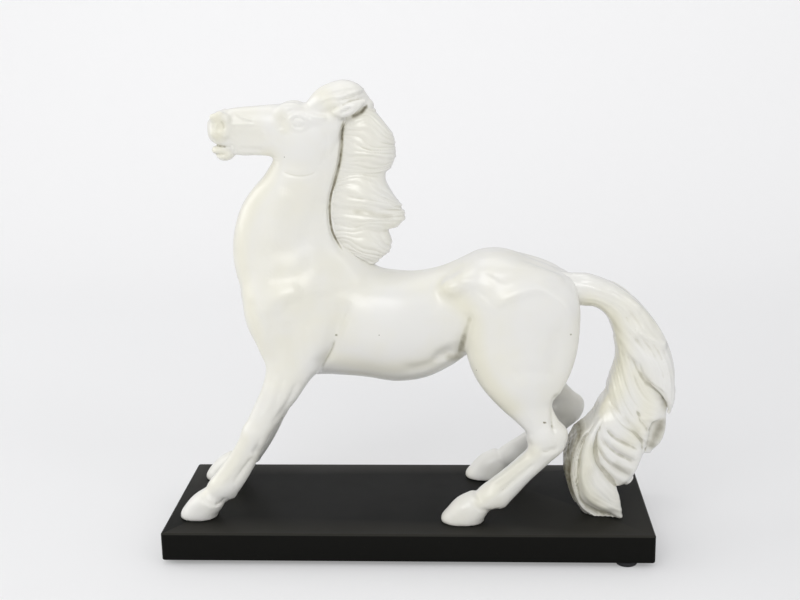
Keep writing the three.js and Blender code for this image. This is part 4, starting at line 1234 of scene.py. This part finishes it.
# Mane casting
# The mane is a separate casting glued along the crest of the neck, from the poll to the withers. It hangs in
# an upper and a lower mass of wavy combed locks, with an umber wash left in the creases and painted shade
# brushed along the crest, under the ear and between the two masses.
MANE_CORE = [
    [-47, 335, -28, 337, -1, 8],
    [-49, 322, -16.5, 322, -1, 11.5],
    [-53, 306, -9.5, 308, -1, 13],
    [-55, 292, -9, 294, -1, 13],
    [-58, 281, -17, 279, -1, 11.5],
    [-61, 269, -13, 267, -1, 13],
    [-64, 255, -6, 252, -1, 15],
    [-64, 242, -6, 242, -1, 15],
    [-62, 233, -15, 233, -1, 13],
    [-56, 224, -15, 225, -1, 12],
    [-46, 216, -19, 218, -1, 9],
    [-34, 211, -25, 213, -1, 5],
]
MANE_LOCKS = [
    ([[-45, 338, -27, 339, 7], [-47, 328, -19, 327, 10.5], [-48, 316, -10, 316, 13.5],
      [-49, 303, -7.5, 304, 14.5], [-50, 293, -8, 293, 13.5], [-51, 286, -12, 285, 9]], -2),
    ([[-55, 286, -16, 284, 8], [-58, 277, -14, 274, 12.5], [-61, 267, -9, 264, 14.5], [-63, 259, -3, 256, 14],
      [-62, 253, -1.5, 252, 8]], -2.5),
    ([[-62, 256, -6, 253.5, 9], [-63, 250, -0.5, 250, 14], [-62, 244, -1, 243, 14],
      [-59, 240, -5, 238.5, 10]], -2.5),
    ([[-63, 246, -28, 243, 8], [-63.5, 238, -17, 237, 13.5], [-60, 230, -12, 230, 15.5],
      [-54, 222, -11.5, 222, 14.5], [-47, 215, -15, 215.5, 11.5], [-38, 209.5, -22, 210.5, 6]], -2.5),
]
MANE_COMBING = [
    [(-44, 336), (-36, 337), (-26, 334)],
    [(-45, 329), (-35, 331), (-27, 331), (-17, 322), (-10, 314)],
    [(-46, 321), (-35, 321), (-27, 319), (-18, 312), (-7, 307)],
    [(-47, 312), (-36, 309.5), (-26, 304.5), (-17, 303), (-6, 302)],
    [(-48, 302), (-35, 300.5), (-26, 299), (-16, 297), (-6, 296)],
    [(-50, 292), (-34, 290.5), (-24, 288.7), (-15, 289), (-8, 290)],
    [(-54, 286), (-36.5, 285.5), (-26.5, 284), (-17.5, 284.5), (-11, 286)],
    [(-58, 279), (-46, 280.5), (-36, 281), (-24, 278.5), (-14, 272), (-7, 262)],
    [(-62, 268), (-51, 270.5), (-41, 270), (-27, 266), (-16, 261), (-3, 256)],
    [(-64, 258), (-54, 260), (-43, 258), (-31, 256), (-23, 253.6), (-9, 252.3), (0, 250.7)],
    [(-64, 247), (-52, 248.4), (-41, 247), (-27, 247.5), (-15, 245.8), (0, 244.6)],
    [(-63, 238), (-52, 240), (-42, 239), (-33, 239.8), (-24, 239.3), (-16.5, 235.5), (-12, 228)],
    [(-59, 230), (-50, 233), (-42, 229.6), (-32, 227.4), (-23, 225.3), (-17, 219)],
    [(-53, 222), (-46, 225), (-40, 221.5), (-34, 218.1), (-26, 215)],
    [(-47, 215), (-40, 216), (-35, 213), (-30, 210)],
]
MANE_MIDDLE = -1
COMB_SPACING = 6
PLATE_SCALE = 50
PLATE_SLACK = 2e-4


def combed(lines, depth, main=0.3, fine=0.45, softness=0.25):
    """Hair combed along lines drawn in the side view, a ridge on each and a finer one between. The lines are
    numbered in order, and a thin plate bent through the numbers gives the ridges everywhere."""
    marks = np.array([(x, z, number) for number, line in enumerate(lines)
                      for x, z in smooth_path(line, COMB_SPACING)])
    spots = marks[:, :2] / PLATE_SCALE

    def bending(square):
        return square * np.log(np.maximum(square, 1e-9))

    gaps = np.sum((spots[:, None] - spots[None])**2, axis=2)
    flat = np.hstack([np.ones((len(spots), 1)), spots])
    plate = bending(gaps) + PLATE_SLACK * np.eye(len(spots))
    system = np.block([[plate, flat], [flat.T, np.zeros((3, 3))]])
    weights = np.linalg.solve(system, np.append(marks[:, 2], [0, 0, 0]))

    def relief(x, z, u, v, travel):
        px, pz = np.broadcast_arrays(x / PLATE_SCALE, z / PLATE_SCALE)
        phase = weights[-3] + weights[-2] * px + weights[-1] * pz
        for (sx, sz), weight in zip(spots, weights):
            phase = phase + weight * bending((px - sx)**2 + (pz - sz)**2)
        phase = np.pi * phase
        stray = phase + 0.35 * np.sin(0.9 * phase + x / 6)
        return depth * (fine * rounded(2 * stray, softness) + main * rounded(phase, softness)
                        + 0.4 * rounded(0.5 * stray + 0.4, softness))

    return relief


mane = Clay(axis_lines(-70, (4, 0.55)), axis_lines(-22, (20, 0.7)), axis_lines(204, (342, 0.55)))
waves = combed(MANE_COMBING, depth=3.6, softness=0.4)
mane.work(loft(MANE_CORE), 1)
for stations, middle in MANE_LOCKS:
    for side in (-1, 1):
        across = middle if side < 0 else 2 * MANE_MIDDLE - middle
        mane.work(loft([[*row[:4], across, row[4]] for row in stations], dome=3, relief=waves), 5)
mane_skin = Skin(mane, rounds=4)
# Umber wash in the crest crease deepened as painted shade, painted shade under the ear, and painted shade
# with a little wash in the crease between the upper and lower masses
MANE_WASH_AND_SHADE = [
    (CREST_CREASE, 0.8, 0.9),
    (CREST_CREASE[:6], 0.6, 1.4),
    ([(-27, 339), (-33, 331.4), (-42, 328)], 0.6, 1.8),
    ([(-45, 254), (-30, 252), (-16, 249), (-4, 248)], 0.24, 3),
]
MANE_CREAM = [(-30, 330), (-30, 290), (-38, 262), (-34, 232)]
for side in (-1, 1):
    for line, strength, reach in MANE_WASH_AND_SHADE:
        mane_skin.press(line, strength, reach, side, brush=True)
    mane_skin.press(MANE_CREAM, 0.5, 20, side, fade=False, cream=True)
mane_skin.turn_normals()
# This resin carries the umber wash of the creases and the painted shade brushed on the mane and tail
washed_resin = coated_resin("gloss_coated_cast_resin_umber_washed", start=0.07, crease=0.55, coat_weight=0.85,
                            coat_blur=0.14)
skin_piece("washed_mane", mane_skin, slice(None), mane_skin.hollow(rounds=8, most=0.5), washed_resin,
           "mane_casting")

# Tail casting
# The tail is cast apart, glued to the dock and bolted to the board where its tip stands. Six twisted locks
# overlap down its near face and six down its far one, and the umber wash, with painted shade brushed in with
# it, is heaviest in the combed inner edge.
TAIL_CORE = [
    [118, 201, 122, 172, -2, 9],
    [142, 197.5, 141, 171.5, -3, 11],
    [159, 193.5, 153, 171.5, -4, 12],
    [175.5, 184, 162.5, 168, -5, 12],
    [188, 172, 167, 159, -5, 11.5],
    [199, 155, 171, 146, -8, 11],
    [206, 140, 172, 132, -10, 11],
    [209, 124, 168.5, 120, -12, 11.5],
    [208, 106, 164.5, 106, -14, 12],
    [205, 89, 159.5, 92, -16, 12],
    [200, 73, 148, 73, -19, 12],
    [193, 57, 137, 56, -21.5, 12],
    [180, 42, 135, 45, -23, 11],
    [174, 28, 137, 30, -25, 10.5],
    [168, 17, 140, 15, -26, 10],
    [168, 5, 143, 6, -27, 10],
    [168, 0, 145, 0, -27, 10],
]
TAIL_LOCKS = [
    ([[138, 198, 135, 180, -3, 6], [150, 197.5, 144.5, 172.5, -5, 10], [163, 193.5, 153, 171.5, -6, 12],
      [178, 184.5, 163, 164, -7, 13], [192, 173.5, 168.5, 154, -9, 14], [205, 157.5, 171, 144, -12, 14.5],
      [212, 145, 174.5, 136, -15, 15], [216.5, 132.5, 182, 130.5, -18.5, 15],
      [218.5, 122, 187, 122, -21, 14.5], [219, 112.5, 194.5, 113, -24, 13],
      [219, 103.5, 203.5, 106.5, -26.5, 10.5], [217.5, 94.5, 210.5, 98, -28.5, 7],
      [215.5, 86.5, 213, 90, -29, 2.5]], 1.7, 0.5, [
        [(138, 200), (163, 195), (178, 186), (192, 175), (205, 159), (214, 143), (219, 124), (220, 108),
         (216, 84)],
        [(138, 190), (160, 187), (175, 178), (189, 165), (200, 150), (209, 134), (213, 118), (213.5, 104),
         (214, 88)],
        [(138, 182), (156, 179), (170, 170), (183, 157), (194, 142), (202, 126), (206, 112), (211, 95)],
        [(140, 173), (152, 170), (163, 161), (174, 148), (184, 132), (191, 117), (200, 104), (209, 93)]]),
    ([[210, 104, 198, 100, -17, 4], [213.5, 95, 197, 91, -19, 8.5], [213, 84, 195, 80, -21.5, 10.5],
      [212.3, 72, 194, 70, -23, 10.5], [209, 62.5, 193.5, 61.5, -24.5, 9.5], [202, 54.5, 193, 55, -26, 6]],
      0.8, 0.5, [
        [(215, 96), (215, 80), (211, 66), (202, 53)], [(204, 96), (204, 80), (201, 66), (196, 52)],
        [(196, 94), (194, 80), (192, 66), (190, 52)]]),
    ([[190, 150, 170, 146, -8.5, 12.5], [198, 138, 171.5, 136, -11.5, 14], [203, 126, 170.5, 125, -14, 14],
      [207, 114, 167, 115, -17, 13.5], [210, 103, 164, 105, -20, 13.5], [211, 94, 165, 94, -22.5, 13.5],
      [210.5, 86, 169.5, 86.5, -25, 12.5], [203, 79, 175.5, 79.5, -27.5, 10.5],
      [199, 71, 183.5, 73, -29.5, 8.5], [197, 62, 189.5, 67, -31, 5.5],
      [194.5, 52.5, 193, 54, -32, 2]], 2.0, 0.6, [
        [(178, 160), (186, 142), (194, 124), (202, 112), (214, 104)],
        [(175, 154), (181, 134), (188, 117), (198, 103), (214, 94)],
        [(172, 146), (176, 127), (182, 110), (189, 97), (199, 89), (213, 84)],
        [(169, 138), (172, 120), (176, 104), (184, 89), (195, 80), (211, 76)],
        [(166, 126), (168, 110), (172, 95), (180, 80), (191, 69), (205, 62)],
        [(163, 112), (163, 101), (167, 90), (175, 78), (185, 66), (195, 53)],
        [(158, 104), (159, 96), (164, 86), (171, 75), (180, 64), (190, 52)]]),
    ([[172, 110, 168, 107, -16, 3], [170, 98, 158, 92, -21, 8.5], [178, 88, 152.5, 78, -26, 12],
      [188, 77, 152, 62, -28.5, 13], [193.5, 66, 154, 47, -29.5, 13], [194, 55, 163, 33, -30, 12],
      [190.5, 44, 172, 25, -31, 9.5], [186, 34, 178, 26, -31, 5]], 1.2, 0.5, [
        [(166, 104), (170, 94), (177, 84), (186, 76), (197, 68)],
        [(162, 98), (165, 94), (168.4, 87.4), (173.6, 79), (181.8, 72.4), (190, 66)],
        [(160, 84), (160.4, 78), (163.6, 70.6), (168.8, 64), (177, 60), (188, 53)],
        [(156.5, 76), (156.5, 67.7), (159.7, 60), (166, 52.6), (174.2, 47.2), (186, 41)],
        [(152, 74), (152, 62), (155, 51), (162, 42), (170, 35), (182, 30)]]),
    ([[173, 109, 170, 106, -18, 3], [166.5, 95, 161.5, 91, -23, 6.5], [161, 84, 153, 80, -27, 9.5],
      [156, 73, 145.5, 68, -30, 11.5], [154.5, 60, 141.5, 56, -31, 12], [157.5, 47, 140, 41, -32, 12],
      [163.5, 38, 139.5, 27, -33, 11.5], [170, 30, 142.5, 15.5, -34, 11.5], [174.5, 20, 152, 7.5, -35, 10],
      [176.5, 9, 166, 3, -36.5, 8], [177.5, 3, 172, -1, -38, 6]], 1.3, 0.4, [
        [(166, 94), (159, 82), (154, 72), (152, 58), (155, 45), (164, 36), (176, 29)],
        [(165, 95), (156, 80), (149.6, 71), (147.5, 56), (149, 43), (154.4, 32), (162.8, 23), (170, 15),
         (179, 12)],
        [(166, 97), (152, 76), (145.7, 62.6), (143.9, 49.6), (145.2, 34.3), (150.5, 23.3), (161, 14.5),
         (178, 6)],
        [(166, 100), (155, 84), (144, 69), (139.5, 55), (138, 42), (139, 27), (146, 13), (160, 4),
         (174, -2)]]),
    ([[172, 111, 169, 108, -14, 4], [166, 98, 161.5, 95, -17, 9], [161, 88, 155.5, 84.5, -19.5, 11],
      [154.5, 78, 147, 75.5, -22, 13], [148.5, 69, 137, 67.5, -24, 14], [145, 56, 130, 54.5, -25, 14],
      [143.5, 42, 128.8, 41, -26, 13.5], [144, 28, 131.5, 27, -27, 12.5], [148, 15, 137, 12, -28, 11],
      [156, 5, 146, 1.5, -30, 9.5], [172, 2, 168, -2, -35, 7]], 2.4, 0.12, [
        [(164, 100), (158, 90), (147.3, 70.5), (141.5, 55), (139.7, 37.6), (142, 24.3), (151.5, 11),
         (166, 4)],
        [(162, 99), (155, 89), (144.5, 71.5), (138.5, 56), (137, 38.5), (139.6, 24), (148, 10), (162, 1)],
        [(160, 98), (152, 88), (142, 73), (135.6, 57), (134, 40), (137, 24), (144.5, 8.5), (156, 0)],
        [(158, 97), (149, 86), (139, 73), (132.6, 58), (131, 40), (134, 22), (141, 5)]]),
]
TAIL_MARKS = [
    ([(163, 191.4), (177, 184), (185.3, 176.7), (193.5, 169.4)], -1.3, 4.5),
    ([(185, 156), (199.3, 148.1), (213, 141)], -2.6, 3.4),
    ([(176, 170), (193.2, 161.1), (210, 153)], 1.5, 5),
    ([(182, 151), (197, 141), (212, 131)], 0.8, 5),
    ([(161, 178.4), (172.3, 168), (180.5, 159.6), (183, 149)], 0.6, 3),
    ([(200, 141), (207, 128), (210, 116)], 0.5, 5),
    ([(184, 131), (187.7, 129.5), (190.9, 121), (198.2, 112.5), (206.4, 107.1), (211.7, 98.6)], 1.2, 1.6),
    ([(176, 124), (180, 110), (188, 97), (199, 89)], 0.5, 2.5),
    ([(171, 112), (176, 100), (184, 88), (194, 79)], 0.5, 2.5),
    ([(184, 122), (189, 110), (198, 101), (208, 97)], 0.4, 2.5),
    ([(188, 84.5), (198, 84.4), (204, 84), (210, 81.8)], -0.8, 2.2),
    ([(186.9, 93.2), (190.2, 83.5), (196.5, 74.9), (198.6, 71.7)], 1.1, 2),
    ([(165, 97), (169, 88.5), (174.3, 81), (182.5, 74.5), (189.8, 68), (192.5, 61.5), (193.8, 52.8)],
     0.9, 2.0),
    ([(165.2, 94.9), (168.4, 87.4), (173.6, 78.9), (181.8, 72.4), (188, 68.1)], -0.8, 2.2),
    ([(160.5, 79.9), (164.7, 73.5), (169.8, 69.2), (178, 64.9), (186.2, 60.5), (192, 56.5)], 1.9, 2.6),
    ([(158.6, 70.6), (162.8, 63.1), (169, 57.6), (176.2, 53.3), (188, 46.5)], 1.8, 2.6),
    ([(154.6, 63.4), (158.8, 53.7), (166.1, 46.1), (174.3, 40.7), (186, 35)], 1.6, 2.6),
    ([(152.7, 70), (151.9, 58.3), (155.1, 47.4), (160.4, 39.8), (166.6, 32.1), (172, 24)], 1.2, 3),
    ([(143.8, 50), (144, 35.1), (147.3, 23), (153.5, 15.3), (161.8, 10.9), (174, 9.4)], -1.3, 3.2),
    ([(163.3, 93.5), (155.5, 82.8), (148.6, 73.1), (144.3, 63.3), (141.9, 53.6), (141.1, 43.7), (140.2, 31.6),
      (141.5, 19.5), (146.7, 10.6), (160.2, 6.8), (171.4, 7.4)], 0.5, 1.3),
    ([(145, 76.6), (138.1, 62.5), (136.2, 51.6), (135.4, 42.8), (136, 34), (137.7, 25.1), (139.4, 16.2)],
     0.8, 1.3),
    ([(137.1, 70.5), (133.2, 57.4), (132.4, 46.4), (132.5, 37.6), (134.2, 26.5), (137, 15.4)], 0.7, 1.2),
]
# Umber wash brushed along the tail's creases and darkened there as painted shade; the third line is painted
# shade on the turned-under underside of the fold
TAIL_WASH_AND_SHADE = [
    ([(161.6, 174.3), (169.9, 162.7), (173.2, 150.1), (175.6, 135.2), (172.9, 119.2), (169, 103.1)], 0.13, 5),
    ([(174, 88), (183, 80), (192, 72)], 0.16, 3.5),
    ([(209, 86), (207, 76), (203, 66), (196, 56)], 0.46, 6),
    ([(150, 52), (147, 28), (160, 10)], 0.14, 9),
    ([(153, 68), (152.4, 58), (155.6, 47.4), (161, 40), (167, 32)], 0.16, 3),
    ([(166, 50), (176, 42), (186, 38)], 0.26, 5),
    ([(164, 68), (176, 58), (190, 52)], 0.16, 2.5),
    ([(143, 12), (155, 5), (170, 3)], 0.16, 3),
]
TAIL_CREAM = [
    ([(150, 176), (166, 168), (173, 150), (175, 130), (170, 105), (160, 92)], 1.0, 9),
    ([(186, 120), (196, 100), (192, 80), (182, 66)], 0.7, 9),
    ([(150, 60), (144, 30), (160, 8)], 0.8, 9),
]
# The combed inner edge behind the near hock: umber wash with painted shade, as this edge lies in shadow
INNER_WASH_AND_SHADE = [(152, 92), (140, 72), (133, 52), (131.5, 34), (135, 18), (144, 6)]
FOOT_PAD = (167, -27, 8, (10, 10, 12))
CURL_HOLLOWS = [(205, across, 71, (5.5, 10, 3.4), 20) for across in (-33, 2)]
tail = Clay(axis_lines(112, (222, 0.74)), axis_lines(-52, (16, 0.84)), axis_lines(-1.3, (206, 0.74)))
tail.work(loft(TAIL_CORE), 1)


def far_lock(stations):
    """A lock's stations on the tail's far face, mirrored about the core's middle at each height."""
    core = np.array(TAIL_CORE)
    heights, middles = (core[:, 1] + core[:, 3]) / 2, core[:, 4]
    moved = []
    for top_x, top_z, low_x, low_z, y, wide in stations:
        middle = np.interp(-(top_z + low_z) / 2, -heights, middles)
        moved.append([top_x, top_z, low_x, low_z, 2 * middle - y, wide])
    return moved


for stations, depth, softness, lines in TAIL_LOCKS:
    comb = combed(lines, depth, softness=softness)
    for lock in (stations, far_lock(stations)):
        tail.work(loft(lock, power=2.3, dome=3, relief=comb), 2)
tail.work(pad(*FOOT_PAD), 3)
for hollow in CURL_HOLLOWS:
    tail.work(pad(*hollow), 3, cut=True)
tail.work(floor_under((100, -60, -40), (230, 30, -1)), 0.4, cut=True)
tail_skin = Skin(tail, rounds=4)
for side in (-1, 1):
    for line, depth, reach in TAIL_MARKS:
        tail_skin.press(line, depth, reach, side)
    for line, strength, reach in TAIL_WASH_AND_SHADE:
        tail_skin.press(line, strength, reach, side, brush=True)
    for line, strength, reach in TAIL_CREAM:
        tail_skin.press(line, strength, reach, side, fade=False, cream=True)
# The heaviest umber wash and painted shade, along the inner edge
tail_skin.press(INNER_WASH_AND_SHADE, 0.75, 4.5, brush=True)
tail_skin.turn_normals()
skin_piece("washed_tail", tail_skin, slice(None), tail_skin.hollow(rounds=8, most=0.36), washed_resin,
           "tail_casting")
